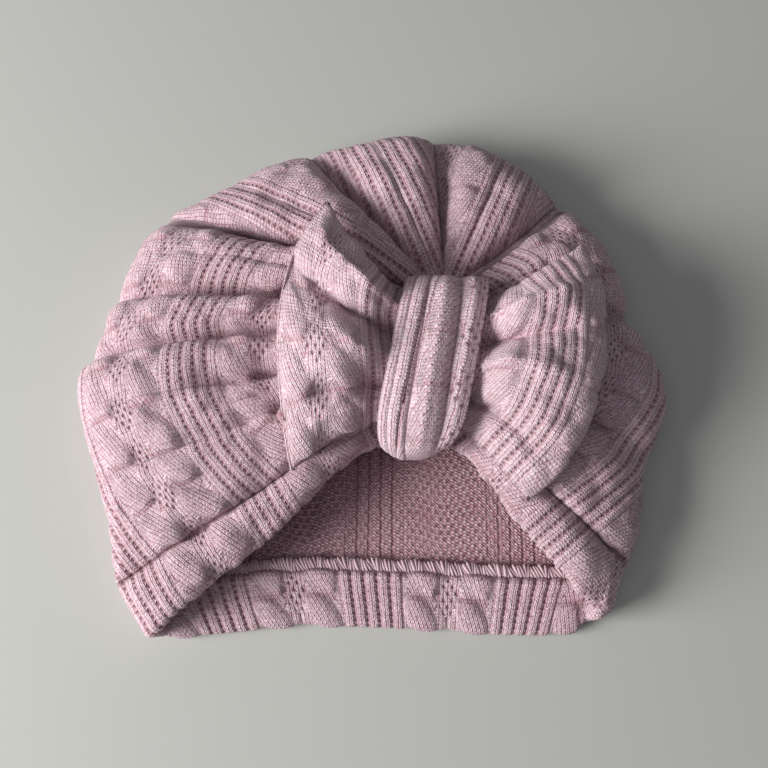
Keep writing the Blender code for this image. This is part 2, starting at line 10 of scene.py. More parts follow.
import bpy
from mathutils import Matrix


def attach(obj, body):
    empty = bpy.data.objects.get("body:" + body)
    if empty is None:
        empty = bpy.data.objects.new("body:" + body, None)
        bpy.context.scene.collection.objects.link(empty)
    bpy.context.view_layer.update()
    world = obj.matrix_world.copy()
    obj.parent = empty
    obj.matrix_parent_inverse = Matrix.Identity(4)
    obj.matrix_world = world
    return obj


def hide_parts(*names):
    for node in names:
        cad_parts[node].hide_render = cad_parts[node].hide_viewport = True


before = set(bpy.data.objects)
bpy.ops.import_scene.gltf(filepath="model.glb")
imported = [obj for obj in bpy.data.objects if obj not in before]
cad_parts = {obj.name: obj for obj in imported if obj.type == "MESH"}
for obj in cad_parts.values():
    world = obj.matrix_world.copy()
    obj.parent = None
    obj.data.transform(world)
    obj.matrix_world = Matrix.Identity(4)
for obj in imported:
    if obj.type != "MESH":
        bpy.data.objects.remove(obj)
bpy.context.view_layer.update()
print("nodes:", sorted(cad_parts))

# %% Libraries
import math

import bmesh
import bpy
import numpy as np
from mathutils import Vector
from mathutils.bvhtree import BVHTree

# %% [markdown]
# ## The camera, the floor and the light
#
# The hat was photographed from almost straight above, from the side of its opening. A camera
# 13 degrees off straight down, with a slightly wide lens, gives the same view. A picture of a
# room could light it, but lamps are plain numbers that can be matched to the photo one by one:
# a large soft lamp low on the left makes the shadows, and a faint one above softens them.

# %% Camera
CAMERA_TARGET = Vector((0.0045, -0.005, 0.015))
CAMERA_DISTANCE = 0.324
CAMERA_ELEVATION = math.radians(77.0)
LENS_MM, SENSOR_MM = 42.2, 36.0
NEAREST = 0.01


def make_camera():
    """Looks down at the hat, from a little towards its opening."""
    data = bpy.data.cameras.new("camera")
    data.lens = LENS_MM
    data.sensor_width = SENSOR_MM
    data.clip_start = NEAREST
    camera = bpy.data.objects.new("camera", data)
    bpy.context.scene.collection.objects.link(camera)
    back = Vector((0.0, -math.cos(CAMERA_ELEVATION), math.sin(CAMERA_ELEVATION)))
    camera.location = CAMERA_TARGET + back * CAMERA_DISTANCE
    camera.rotation_euler = (-back).to_track_quat("-Z", "Y").to_euler()
    bpy.context.scene.camera = camera
    return camera


camera = make_camera()
print("camera at", [round(c, 3) for c in camera.location])

# %% Floor and lamps
FLOOR_SIZE = 6.0
FLOOR_GREY, FLOOR_ROUGHNESS = (0.56, 0.56, 0.53, 1.0), 0.75
# name, place, size, watts, colour
LAMPS = (
    ("window", (-1.05, -0.28, 0.54), 0.62, 21.5, (1.0, 1.0, 0.98)),
    ("fill", (-0.3, -0.1, 1.3), 1.0, 1.2, (0.95, 0.98, 1.0)),
)
SKY_COLOUR, SKY_STRENGTH = (0.92, 0.96, 1.0), 0.15


def make_floor():
    """A plain pale surface at height 0."""
    bm = bmesh.new()
    bmesh.ops.create_grid(bm, x_segments=1, y_segments=1, size=FLOOR_SIZE / 2)
    mesh = bpy.data.meshes.new("floor")
    bm.to_mesh(mesh)
    bm.free()
    floor = bpy.data.objects.new("floor", mesh)
    bpy.context.scene.collection.objects.link(floor)
    material = bpy.data.materials.new("floor")
    material.use_nodes = True
    shader = material.node_tree.nodes["Principled BSDF"]
    shader.inputs["Base Color"].default_value = FLOOR_GREY
    shader.inputs["Roughness"].default_value = FLOOR_ROUGHNESS
    mesh.materials.append(material)
    return floor


def make_lamp(name, place, size, watts, colour):
    """A square soft lamp that shines on the hat."""
    data = bpy.data.lights.new(name, "AREA")
    data.size = size
    data.energy = watts
    data.color = colour
    lamp = bpy.data.objects.new(name, data)
    bpy.context.scene.collection.objects.link(lamp)
    lamp.location = place
    lamp.rotation_euler = (Vector((0, 0, 0)) - lamp.location).to_track_quat("-Z", "Y").to_euler()
    return lamp


def make_sky(colour, strength):
    """Even light from all round."""
    world = bpy.data.worlds.new("studio")
    world.use_nodes = True
    background = world.node_tree.nodes["Background"]
    background.inputs["Color"].default_value = (*colour, 1.0)
    background.inputs["Strength"].default_value = strength
    bpy.context.scene.world = world


floor = make_floor()
for lamp in LAMPS:
    make_lamp(*lamp)
make_sky(SKY_COLOUR, SKY_STRENGTH)
bpy.context.scene.view_settings.view_transform = "Standard"
print("lamps:", [name for name, *_ in LAMPS])

# %% [markdown]
# ## Smooth curves from a few numbers
#
# The shapes below come from named sizes and short tables, as the solids do. These helpers
# turn a row of values into a smooth curve, and soften the start and the end of a slope.

# %% Curve helpers


def ease(share):
    """0 to 1 with a level start and end."""
    share = np.clip(share, 0.0, 1.0)
    return share * share * (3.0 - 2.0 * share)


def ramp(share, start, span):
    """0 up to the start, 1 from one span further on, smooth in between."""
    return ease((share - start) / span)


def round_off(share):
    """The height of a quarter circle: 0 at its edge, 1 where it levels out."""
    return np.sqrt(np.maximum(1.0 - (1.0 - np.clip(share, 0.0, 1.0)) ** 2, 0.0))


def curve_through(places, values, at):
    """A smooth curve through rows of values, read at one or more places."""
    places, values = np.asarray(places, float), np.asarray(values, float)
    slopes = np.gradient(values, places)
    at = np.clip(at, places[0], places[-1])
    low = np.clip(np.searchsorted(places, at, side="right") - 1, 0, len(places) - 2)
    span = places[low + 1] - places[low]
    t = (at - places[low]) / span
    start = (1.0 + 2.0 * t) * (1.0 - t) ** 2 * values[low]
    end = t * t * (3.0 - 2.0 * t) * values[low + 1]
    start_slope = t * (1.0 - t) ** 2 * span * slopes[low]
    end_slope = t * t * (t - 1.0) * span * slopes[low + 1]
    return start + end + start_slope + end_slope


def column(rows, index):
    """One column of a table."""
    return [row[index] for row in rows]


def distance_to_path(points, path):
    """The distance of each point from a line of straight stretches, in plan."""
    flat = points.reshape(-1, 2)
    nearest = np.full(len(flat), np.inf)
    for start, end in zip(path[:-1], path[1:]):
        along = end - start
        length = max(float(along @ along), 1e-12)
        share = np.clip(((flat - start) @ along) / length, 0.0, 1.0)
        away = flat - start - share[:, None] * along
        nearest = np.minimum(nearest, np.hypot(away[:, 0], away[:, 1]))
    return nearest.reshape(points.shape[:-1])


# %% Creases and ripples
CREASE_STEEP, CREASE_GENTLE = 0.62, 1.12
CREASE_ROUNDING, CREASE_FALL, CREASE_LINE = 0.04, 1.4, 0.36
CREASE_SOFT, CREASE_SHARP = 0.84, 0.34


def crease(distance):
    """The cross-section of a crease: a soft slope down on the side away from the hem, a
    sharp line, and a steep side up to the next fold."""
    away = distance / np.where(distance < 0, CREASE_STEEP, CREASE_GENTLE)
    soft = np.exp(-(np.sqrt(away**2 + CREASE_ROUNDING) ** CREASE_FALL))
    sharp = np.exp(-((away / CREASE_LINE) ** 2))
    return CREASE_SOFT * soft + CREASE_SHARP * sharp


# wavelength, direction, shift and height of the small waves that soft cloth always has
RIPPLES = (
    (0.021, 0.3, 0.4, 0.00042),
    (0.016, 1.2, 1.9, 0.00034),
    (0.013, 2.1, 0.9, 0.00028),
    (0.010, 2.8, 2.6, 0.00018),
    (0.0075, 0.9, 4.1, 0.00012),
)
# how long the bends of a wave's crest are, in wavelengths, and how strong
RIPPLE_BEND_LENGTH, RIPPLE_BEND = 2.7, 1.3


def ripples(points):
    """Small waves over the cloth, so that no stretch is quite even."""
    height = np.zeros(points.shape[:-1])
    for wave, direction, shift, rise in RIPPLES:
        along = points[..., 0] * math.cos(direction) + points[..., 1] * math.sin(direction)
        aside = points[..., 1] * math.cos(direction) - points[..., 0] * math.sin(direction)
        bend = np.sin(2 * math.pi * aside / (RIPPLE_BEND_LENGTH * wave) + shift)
        height += rise * np.sin(2 * math.pi * along / wave + shift + RIPPLE_BEND * bend)
    return height


print("a crease is", round(float(crease(np.array(0.0))), 2), "deep on its line")

# %% [markdown]
# ## The plan of the crown
#
# Seen from above the hat is a wide dome with a flat bottom edge, the opening. It could be
# sculpted by hand, but then no size could be changed. So the outline is a table of shares of
# the width and the length. Creases fan out from the gather under the bow, a row for each one,
# with its depth near the gather, halfway and at the outline.

# %% Sizes and tables of the crown
CROWN_WIDTH, CROWN_LENGTH = 0.212, 0.186
CROWN_PUFF, CORNER_PUFF = 0.034, 0.025
CLOTH = 0.0018
HEM_DEPTH, HEM_GROOVE, HEM_PLUMP, HEM_FOLD_GAP = 0.019, 0.0034, 0.0016, 0.0012
APEX_SWELL, APEX_SWELL_PLACE = 0.0052, 0.15
SIDE_ROLL_HEIGHT, CORNER_ROLL_HEIGHT = 0.0110, 0.0090
ROLL_INSET, BACK_BEND, BACK_AIM, SHOULDER = 0.009, 0.30, 0.06, 0.039
GATHER_LENGTH, GATHER_HALF_WIDTH, GATHER_LEAN = 0.055, 0.006, 0.011
GATHER_X, GATHER_Y, GATHER_TURN_SHARE, GATHER_HEM_SHARE = 0.0215, 0.0018, 0.08, 0.10
GATHER_DIP, GATHER_DIP_REACH = 0.0095, 0.023
GATHER_PIT, GATHER_PIT_REACH = 0.0065, 0.012
HEM_DROOP, HEM_DROOP_REACH = 0.0030, 0.017

# place, share of half the width, share of half the length
OUTLINE = (
    ("left corner", -0.73, -0.99),
    ("left hem end", -0.83, -0.80),
    ("left side low", -0.87, -0.57),
    ("left side", -0.965, -0.24),
    ("left bulge", -1.00, -0.03),
    ("left notch", -0.94, 0.11),
    ("left shoulder low", -0.88, 0.35),
    ("left shoulder", -0.76, 0.61),
    ("left shoulder high", -0.59, 0.725),
    ("top left notch", -0.28, 0.91),
    ("top left", -0.08, 0.955),
    ("top", 0.14, 1.00),
    ("top right", 0.43, 0.925),
    ("right shoulder high", 0.67, 0.71),
    ("right shoulder", 0.84, 0.46),
    ("right notch", 0.89, 0.24),
    ("right bulge", 1.00, -0.09),
    ("right side", 0.91, -0.40),
    ("right side low", 0.865, -0.68),
    ("right hem end", 0.76, -0.925),
)
BACK_EDGE = (
    ("left corner", -0.73, -0.99),
    ("left", -0.52, -0.965),
    ("middle left", -0.22, -0.935),
    ("middle right", 0.12, -0.945),
    ("right", 0.42, -0.965),
    ("right bend", 0.63, -0.965),
    ("right hem end", 0.76, -0.925),
)
# name, place on the outline, place round the gather, sideways bend, depth near the gather,
# halfway and at the outline, width
CREASES = (
    ("brow left", 0.110, 0.215, 0.00, 0.12, 0.04, 0.00, 0.016),
    ("side left lowest", 0.160, 0.265, 0.00, 0.28, 0.05, 0.00, 0.013),
    ("side left low", 0.205, 0.320, 0.030, 0.34, 0.29, 0.13, 0.015),
    ("side left", 0.255, 0.375, 0.025, 0.38, 0.33, 0.15, 0.015),
    ("side left high", 0.326, 0.440, 0.015, 0.38, 0.34, 0.16, 0.016),
    ("top left", 0.452, 0.478, -0.020, 0.32, 0.36, 0.16, 0.018),
    ("top middle", 0.552, 0.498, 0.000, 0.32, 0.33, 0.12, 0.017),
    ("top right", 0.664, 0.522, 0.020, 0.34, 0.36, 0.15, 0.019),
    ("side right high", 0.770, 0.640, 0.000, 0.26, 0.28, 0.18, 0.017),
    ("side right", 0.880, 0.740, 0.010, 0.15, 0.16, 0.06, 0.018),
)
# The smaller creases between them, too fine for the solids. Columns: name, place on the
# outline, depth near the gather, halfway and at the outline, width.
FINE_CREASES = (
    ("left cheek", 0.135, 0.05, 0.035, 0.00, 0.008),
    ("left fold back", 0.290, 0.05, 0.045, 0.02, 0.009),
    ("left shoulder", 0.385, 0.05, 0.060, 0.03, 0.012),
    ("top left ridge", 0.500, 0.06, 0.030, 0.02, 0.008),
    ("top right ridge", 0.610, 0.05, 0.040, 0.02, 0.009),
    ("right shoulder", 0.720, 0.05, 0.060, 0.02, 0.010),
    ("right cheek", 0.825, 0.06, 0.050, 0.02, 0.012),
)

OUTLINE_STEPS = 240


def outline_curve():
    """Points along the outline, evenly spaced, with their shares of the way round."""
    rows = np.linspace(0.0, 1.0, len(OUTLINE))
    fine = np.linspace(0.0, 1.0, OUTLINE_STEPS * 4)
    x = curve_through(rows, column(OUTLINE, 1), fine) * CROWN_WIDTH / 2
    y = curve_through(rows, column(OUTLINE, 2), fine) * CROWN_LENGTH / 2
    run = np.concatenate([[0.0], np.cumsum(np.hypot(np.diff(x), np.diff(y)))])
    even = np.linspace(0.0, run[-1], OUTLINE_STEPS)
    points = np.stack([np.interp(even, run, x), np.interp(even, run, y)], axis=-1)
    return points, even / run[-1], run[-1]


OUTLINE_POINTS, OUTLINE_SHARES, OUTLINE_RUN = outline_curve()
GROOVE_SHARE = HEM_DEPTH / OUTLINE_RUN
print("the outline is", round(OUTLINE_RUN * 1000), "mm round")

# %% [markdown]
# ## The surface of the crown
#
# A point of the upper layer is found from two shares: how far round the outline its column
# ends, and how far along that column it lies, from the gather to the outline. A square grid
# would cut across the folds and blur them. These columns run along the folds, as the real
# cloth does, so each crease stays sharp.

# %% Plan of the crown


def on_outline(share):
    """The place of a share of the way round the outline."""
    x = np.interp(share, OUTLINE_SHARES, OUTLINE_POINTS[:, 0])
    y = np.interp(share, OUTLINE_SHARES, OUTLINE_POINTS[:, 1])
    return np.stack([x, y], axis=-1)


def on_back_edge(across):
    """The back edge of the opening, from the left to the right corner."""
    places = np.linspace(0.0, 1.0, len(BACK_EDGE))
    x = curve_through(places, column(BACK_EDGE, 1), across)
    y = curve_through(places, column(BACK_EDGE, 2), across)
    return np.stack([x * CROWN_WIDTH / 2, y * CROWN_LENGTH / 2], axis=-1)


def gather_ends():
    """The lower and the upper end of the slot that the folds are sewn into."""
    half = np.array([GATHER_LEAN / 2, GATHER_LENGTH / 2])
    middle = np.array([GATHER_X, GATHER_Y])
    return middle - half, middle + half


def round_gather(share):
    """A point of the narrow slot round the gather, from its lower left end, over the top
    and down to its lower right end."""
    low, high = gather_ends()
    sides = (1.0 - GATHER_TURN_SHARE) / 2
    left = np.clip(share / sides, 0.0, 1.0)
    right = np.clip((1.0 - share) / sides, 0.0, 1.0)
    turn = math.pi * (1.0 - np.clip((share - sides) / (1.0 - 2 * sides), 0.0, 1.0))
    up = np.where(share < 0.5, left, right)
    offset = np.stack([np.cos(turn), np.sin(turn)], axis=-1) * GATHER_HALF_WIDTH
    return low + (high - low) * up[..., None] + offset


def between_creases(outline_share, index, first, last):
    """A column of the crease table, read as straight stretches round the outline."""
    ends = [0.0, GROOVE_SHARE, *column(CREASES, 1), 1.0 - GROOVE_SHARE, 1.0]
    values = [*first, *column(CREASES, index), *last]
    return np.interp(outline_share, ends, values)


EDGE_GROOVES = 3.0


def edge_nearness(outline_share):
    """1 at the front hem's left edge, falling to 0 well above its stitch line."""
    return 1.0 - ease(outline_share / (EDGE_GROOVES * GROOVE_SHARE))


def upper_plan(outline_share, reach):
    """Plan of the upper layer: each column bends a little on its way to the outline."""
    hem = GATHER_HEM_SHARE
    start = round_gather(between_creases(outline_share, 2, (0.0, hem), (1.0 - hem, 1.0)))
    end = on_outline(outline_share)
    bend = between_creases(outline_share, 3, (0.0, 0.0), (0.0, 0.0)) * CROWN_WIDTH / 2
    along = end - start
    length = np.maximum(np.hypot(along[..., 0], along[..., 1]), 1e-9)[..., None]
    sideways = np.stack([along[..., 1], -along[..., 0]], axis=-1) / length
    early = reach / APEX_SWELL_PLACE
    apex = APEX_SWELL * early * np.exp(1.0 - early) * (1.0 - reach)
    apex = apex * (edge_nearness(outline_share) - edge_nearness(1.0 - outline_share))
    swell = (np.sin(math.pi * reach) * bend + apex)[..., None]
    return start + along * reach[..., None] + sideways * swell


def back_plan(across, up):
    """Plan of the back hem: across from the left to the right corner, up from the edge to
    the hem's stitch line."""
    left = on_outline(GROOVE_SHARE * up) - on_outline(0.0)
    right = on_outline(1.0 - GROOVE_SHARE * up) - on_outline(1.0)
    return on_back_edge(across) + left + (right - left) * across[..., None]


# %% Heights of the crown
# shares of half the length: how far up the roll has its full height, and the puff's rise
ROLL_RISE, PUFF_START, PUFF_RISE = 0.55, 0.85, 0.95
def roll_height(y):
    """The height of the rolled outline, lower at the corners than at the sides."""
    share = ease((y / (CROWN_LENGTH / 2) + 1.0) / ROLL_RISE)
    return CORNER_ROLL_HEIGHT + (SIDE_ROLL_HEIGHT - CORNER_ROLL_HEIGHT) * share


def upper_height(points):
    """The smooth height of the upper layer, before creases."""
    y = points[..., 1]
    rise = ease((y / (CROWN_LENGTH / 2) + PUFF_START) / PUFF_RISE)
    puff = CORNER_PUFF + (CROWN_PUFF - CORNER_PUFF) * rise
    inward = distance_to_path(points, OUTLINE_POINTS)
    edge = roll_height(y)
    height = edge + (puff - edge) * round_off(inward / SHOULDER)
    low, high = gather_ends()
    to_gather = distance_to_path(points, np.array([low, high])) - GATHER_HALF_WIDTH
    to_gather = np.maximum(to_gather, 0.0)
    to_pit = np.hypot(points[..., 0] - high[0], points[..., 1] - high[1])
    to_pit = np.maximum(to_pit - GATHER_HALF_WIDTH, 0.0)
    dip = GATHER_DIP * np.exp(-((to_gather / GATHER_DIP_REACH) ** 2))
    pit = GATHER_PIT * np.exp(-((to_pit / GATHER_PIT_REACH) ** 2))
    brim = np.array([OUTLINE_POINTS[0], low, OUTLINE_POINTS[-1]])
    to_brim = distance_to_path(points, brim)
    droop = HEM_DROOP * np.exp(-((to_brim / HEM_DROOP_REACH) ** 2))
    return height - (dip + pit + droop) * ease(inward / SHOULDER)


middle_height = float(upper_height(np.zeros((1, 2)))[0])
print("in the middle of its plan the crown is", round(middle_height * 1000, 1), "mm up")

# %% Creases and the groove of the hem
# places along a column, from the gather, and how deep a crease starts there
CREASE_STATIONS, CREASE_START = (0.0, 0.12, 0.40, 0.72, 1.0), 0.30
# shares of a column over which things fade: at the gather and at the outline
GROOVE_FADE, RIPPLE_FADE, RIM_FADE = 0.2, 0.15, 0.06
GROOVE_WIDTH, PLUMPNESS = 0.24, 0.8


def crease_depth(outline_share, reach):
    """How far the creases press the upper layer down."""
    depth = np.zeros(np.broadcast(outline_share, reach).shape)
    rows = [(row[1], *row[4:]) for row in CREASES] + [row[1:] for row in FINE_CREASES]
    for place, near, middle, rim, width in rows:
        levels = (0.0, CREASE_START * near, near, middle, rim)
        along = curve_through(CREASE_STATIONS, levels, reach)
        depth += along * crease((outline_share - place) / width)
    return depth * CROWN_PUFF


def groove_depth(outline_share, reach):
    """The groove at the stitch line between the crown and the turned hem."""
    from_end = np.minimum(outline_share, 1.0 - outline_share)
    fade = ease(reach / GROOVE_FADE) * ease((1.0 - reach) / RIM_FADE)
    soft = crease((GROOVE_SHARE - from_end) / (GROOVE_WIDTH * GROOVE_SHARE))
    plump = np.sin(math.pi * np.clip(from_end / GROOVE_SHARE, 0.0, 1.0)) ** PLUMPNESS
    return (HEM_GROOVE * soft - HEM_PLUMP * plump) * fade


def upper_layer(outline_share, reach):
    """Points of the upper layer, with its creases, the hem's groove and small waves."""
    plan = upper_plan(outline_share, reach)
    height = upper_height(plan) - crease_depth(outline_share, reach)
    height = height - groove_depth(outline_share, reach)
    height = height + ripples(plan) * ease(reach / RIPPLE_FADE) * ease((1.0 - reach) / RIM_FADE)
    return np.concatenate([plan, height[..., None]], axis=-1)


# %% The back of the crown


def lower_height(points):
    """The underside: flat on the floor, with a round turn up to the outline."""
    inward = distance_to_path(points, OUTLINE_POINTS)
    edge = roll_height(points[..., 1])
    return edge * (1.0 - round_off(inward / ROLL_INSET))


def lower_layer(outline_share, reach):
    """Points of the back, reach 0 at the outline and 1 at the back hem's stitch line."""
    start = on_outline(outline_share)
    across = (outline_share - GROOVE_SHARE) / (1.0 - 2.0 * GROOVE_SHARE)
    end = back_plan(across, np.ones_like(across))
    along = on_outline(outline_share + BACK_AIM) - on_outline(outline_share - BACK_AIM)
    length = np.hypot(along[..., 0], along[..., 1])[..., None]
    inward = np.stack([along[..., 1], -along[..., 0]], axis=-1) / length
    span = np.hypot(*np.moveaxis(end - start, -1, 0))[..., None]
    bend = start + inward * BACK_BEND * span
    t = reach[..., None]
    plan = start * (1.0 - t) ** 2 + bend * 2.0 * t * (1.0 - t) + end * t**2
    fade = 1.0 - ease(distance_to_path(plan, OUTLINE_POINTS) / ROLL_INSET)
    fade = fade * (1.0 - ease(reach))
    edge = crease_depth(outline_share, np.ones_like(reach)) * fade
    height = np.maximum(lower_height(plan) - edge, 0.0)
    return np.concatenate([plan, height[..., None]], axis=-1)


def back_hem(across, up):
    """Points of the back hem, on the floor."""
    plan = back_plan(across, up)
    return np.concatenate([plan, lower_height(plan)[..., None]], axis=-1)


# %% [markdown]
# ## The knit
#
# The cloth is a fancy knit. Every 36 wales it repeats a panel: a column of eyelet diamonds
# between two columns of leaves, then five ribs with open work between them. Sixteen courses
# make one leaf. A sheet carries two numbers at every point, the wale and the course, so the
# pattern bends with the cloth. Every strand as a tube would take millions of faces, and a
# picture of knit would lie flat. So the leaves and ribs are real relief, charted here in
# wales and courses, and the single stitches are bump.

# %% The repeat of the knit
WALE, COURSE = 0.00142, 0.00116
PANEL_WALES, PANEL_COURSES = 36.0, 16.0
LEAF_AT, LEAF_HALF_WIDTH, LEAF_LEAN = 6.2, 3.5, 2.5
LEAF_SWELL, LEAF_TIP, LEAF_START, LEAF_THINNING = 2.6, 0.15, 0.10, 0.55
DIAMOND_HALF_WIDTH, DIAMOND_LEAST = 3.8, 0.4
FIRST_RIB_AT, RIB_PITCH, RIB_COUNT, RIB_HALF_WIDTH = 12.0, 3.0, 5, 1.35
RIBS_START, RIBS_FADE = 1.6, 0.9
LEAF_RISE, RIB_RISE, DIAMOND_SINK = 0.0016, 0.00062, 0.00040


# %% Leaves, ribs and diamonds


def panel_place(wale, course):
    """The wale counted from the middle of the nearest diamond, and the share of the leaf."""
    across = (wale + PANEL_WALES / 2) % PANEL_WALES - PANEL_WALES / 2
    return across, (course / PANEL_COURSES) % 1.0


def leaf_height(off, side, along):
    """A leaf starts at a sharp edge near the hem, leans, and thins out to its tip."""
    middle = LEAF_AT + LEAF_LEAN * side * (2.0 * along - 1.0)
    width = LEAF_HALF_WIDTH * LEAF_SWELL * along**0.6 * (1.0 - along) ** 0.8 + LEAF_TIP
    inside = np.clip(1.0 - ((off - middle) / width) ** 2, 0.0, 1.0)
    return LEAF_RISE * inside**0.6 * ease(along / LEAF_START) * (1.0 - LEAF_THINNING * along)


def rib_height(off):
    """Round cords side by side, with narrow valleys of open work between them."""
    last = FIRST_RIB_AT + RIB_PITCH * (RIB_COUNT - 1)
    from_rib = np.abs((off - last + RIB_PITCH / 2) % RIB_PITCH - RIB_PITCH / 2)
    cord = np.sqrt(np.clip(1.0 - (from_rib / RIB_HALF_WIDTH) ** 2, 0.0, 1.0))
    return RIB_RISE * cord * ease((off - FIRST_RIB_AT + RIBS_START) / RIBS_FADE)


def knit_relief(wale, course):
    """The height of leaves, ribs and eyelet diamonds above the plain cloth."""
    across, along = panel_place(wale, course)
    off = np.abs(across)
    side = np.where(across < 0, -1.0, 1.0)
    leaf = leaf_height(off, side, along)
    reach = np.maximum(DIAMOND_HALF_WIDTH * np.abs(2.0 * along - 1.0), DIAMOND_LEAST)
    diamond = np.clip(1.2 - off / reach, 0.0, 1.0)
    return leaf + rib_height(off) - DIAMOND_SINK * ease(2.0 * diamond)


print("the panel is", round(PANEL_WALES * WALE * 1000), "mm wide")
print("a leaf is", round(PANEL_COURSES * COURSE * 1000, 1), "mm long")

# %% [markdown]
# ## From tables of points to one sheet of cloth
#
# Each stretch of cloth is a grid of points with its wale and course. The grids are welded
# where they meet, the relief is raised along the cloth's own normals, and Solidify gives the
# sheet its wall. The inner side, which shows the back of the knit, gets a second material.
# A material could raise the relief too, but only in the render. Here it is in the mesh, so
# it also reaches every other program.

# %% Sheets of cloth
WELD = 0.00002
FAR_FROM_SEAM = 0.02


def grid_of(points, wale, course, relief_share=1.0, seam=FAR_FROM_SEAM):
    """One stretch of cloth, ready to be welded to others. Seam is the distance from the
    hem's stitch line."""
    raised = knit_relief(wale, course) * relief_share
    seam = np.broadcast_to(seam, raised.shape)
    return points, np.stack([wale, course], axis=-1), raised, seam


def add_grid(bm, layers, grid):
    """Adds the faces of one grid, with the wale and the course in the UV map."""
    points, knit, raised, seam = grid
    uv_layer, raise_layer, seam_layer = layers
    count, rows = points.shape[:2]
    made = [bm.verts.new(point) for point in points.reshape(-1, 3).tolist()]
    heights, distances = raised.reshape(-1).tolist(), seam.reshape(-1).tolist()
    for vertex, height, distance in zip(made, heights, distances):
        vertex[raise_layer] = height
        vertex[seam_layer] = distance
    uv = knit.reshape(-1, 2).tolist()
    for i in range(count - 1):
        for j in range(rows - 1):
            corners = [i * rows + j, (i + 1) * rows + j, (i + 1) * rows + j + 1, i * rows + j + 1]
            face = bm.faces.new([made[c] for c in corners])
            face.smooth = True
            for loop, corner in zip(face.loops, corners):
                loop[uv_layer].uv = uv[corner]


def cloth_object(name, grids, materials):
    """Welds grids into one sheet, with its faces pointing out of the cloth's right side."""
    bm = bmesh.new()
    uv_layer = bm.loops.layers.uv.new("knit")
    floats = bm.verts.layers.float
    for layer_name in ("raised", "seam"):
        floats.new(layer_name)
    # A new layer moves the ones before it, so both are looked up once both are there.
    layers = (uv_layer, floats["raised"], floats["seam"])
    for grid in grids:
        add_grid(bm, layers, grid)
    bmesh.ops.remove_doubles(bm, verts=bm.verts[:], dist=WELD)
    bmesh.ops.recalc_face_normals(bm, faces=bm.faces[:])
    highest = max(bm.faces, key=lambda face: face.calc_center_median().z)
    if highest.normal.z < 0:
        bmesh.ops.reverse_faces(bm, faces=bm.faces[:])
    bm.normal_update()
    for vertex in bm.verts:
        vertex.co += vertex.normal * vertex[layers[1]]
        vertex.co.z = max(vertex.co.z, 0.0)
    bm.verts.layers.float.remove(bm.verts.layers.float["raised"])
    mesh = bpy.data.meshes.new(name)
    bm.to_mesh(mesh)
    bm.free()
    for material in materials:
        mesh.materials.append(material)
    obj = bpy.data.objects.new(name, mesh)
    bpy.context.scene.collection.objects.link(obj)
    return obj


# %% A wall for each sheet


def plain_mesh(obj):
    """Turns the object's modifiers into its mesh."""
    graph = bpy.context.evaluated_depsgraph_get()
    mesh = bpy.data.meshes.new_from_object(obj.evaluated_get(graph))
    obj.modifiers.clear()
    obj.data = mesh
    return obj


def triangles(obj):
    """How many triangles the object's mesh has."""
    return sum(len(polygon.vertices) - 2 for polygon in obj.data.polygons)


# where a ray starts below the cloth, how many walls far it looks, and the share of the room
# that one wall may fill
RAY_START, RAY_WALLS, ROOM_SHARE, LEAST_SHARE = 0.00015, 3.0, 0.42, 0.03
LEVEL = 0.95


def room_inside(obj, thickness):
    """The share of the wall that fits at each point, before it would come out on the other
    side of a narrow fold."""
    mesh = obj.data
    places = [vertex.co.copy() for vertex in mesh.vertices]
    tree = BVHTree.FromPolygons(places, [tuple(polygon.vertices) for polygon in mesh.polygons])
    shares = []
    for vertex in mesh.vertices:
        start = vertex.co - vertex.normal * RAY_START
        away = tree.ray_cast(start, -vertex.normal, RAY_WALLS * thickness)[3]
        room = 1.0 if away is None else ROOM_SHARE * away / thickness + LEAST_SHARE
        shares.append(min(1.0, room))
    return shares


def thicken(obj, thickness, offset=-1.0, inner_slot=1):
    """Gives the sheet its wall, thinner where a tight fold has no room for all of it."""
    group = obj.vertex_groups.new(name="wall")
    for number, share in enumerate(room_inside(obj, thickness)):
        group.add([number], share, "REPLACE")
    wall = obj.modifiers.new("wall", "SOLIDIFY")
    wall.vertex_group = "wall"
    wall.thickness = thickness
    wall.offset = offset
    wall.material_offset = inner_slot
    wall.use_quality_normals = True
    return plain_mesh(obj)


def thin_out_inside(obj, most_triangles, flat_below=0.0):
    """Leaves the inner side of the cloth, which hardly shows, and any part that lies flat on
    the floor with fewer faces."""
    have = triangles(obj)
    if have <= most_triangles:
        return obj
    mesh = obj.data
    hidden, seen = set(), set()
    for polygon in mesh.polygons:
        flat = polygon.center.z < flat_below and abs(polygon.normal.z) > LEVEL
        (hidden if polygon.material_index or flat else seen).update(polygon.vertices)
    group = obj.vertex_groups.new(name="hidden")
    group.add(sorted(hidden - seen), 1.0, "REPLACE")
    fewer = obj.modifiers.new("fewer", "DECIMATE")
    fewer.ratio = most_triangles / have
    fewer.vertex_group = group.name
    return plain_mesh(obj)


# %% [markdown]
# ## Shader maths as Python expressions
#
# A material could be built box by box and wire by wire, but its maths is easier to read as a
# sum. `Sum` wraps a socket, and each operator adds one Math node.

# %% A small language for materials


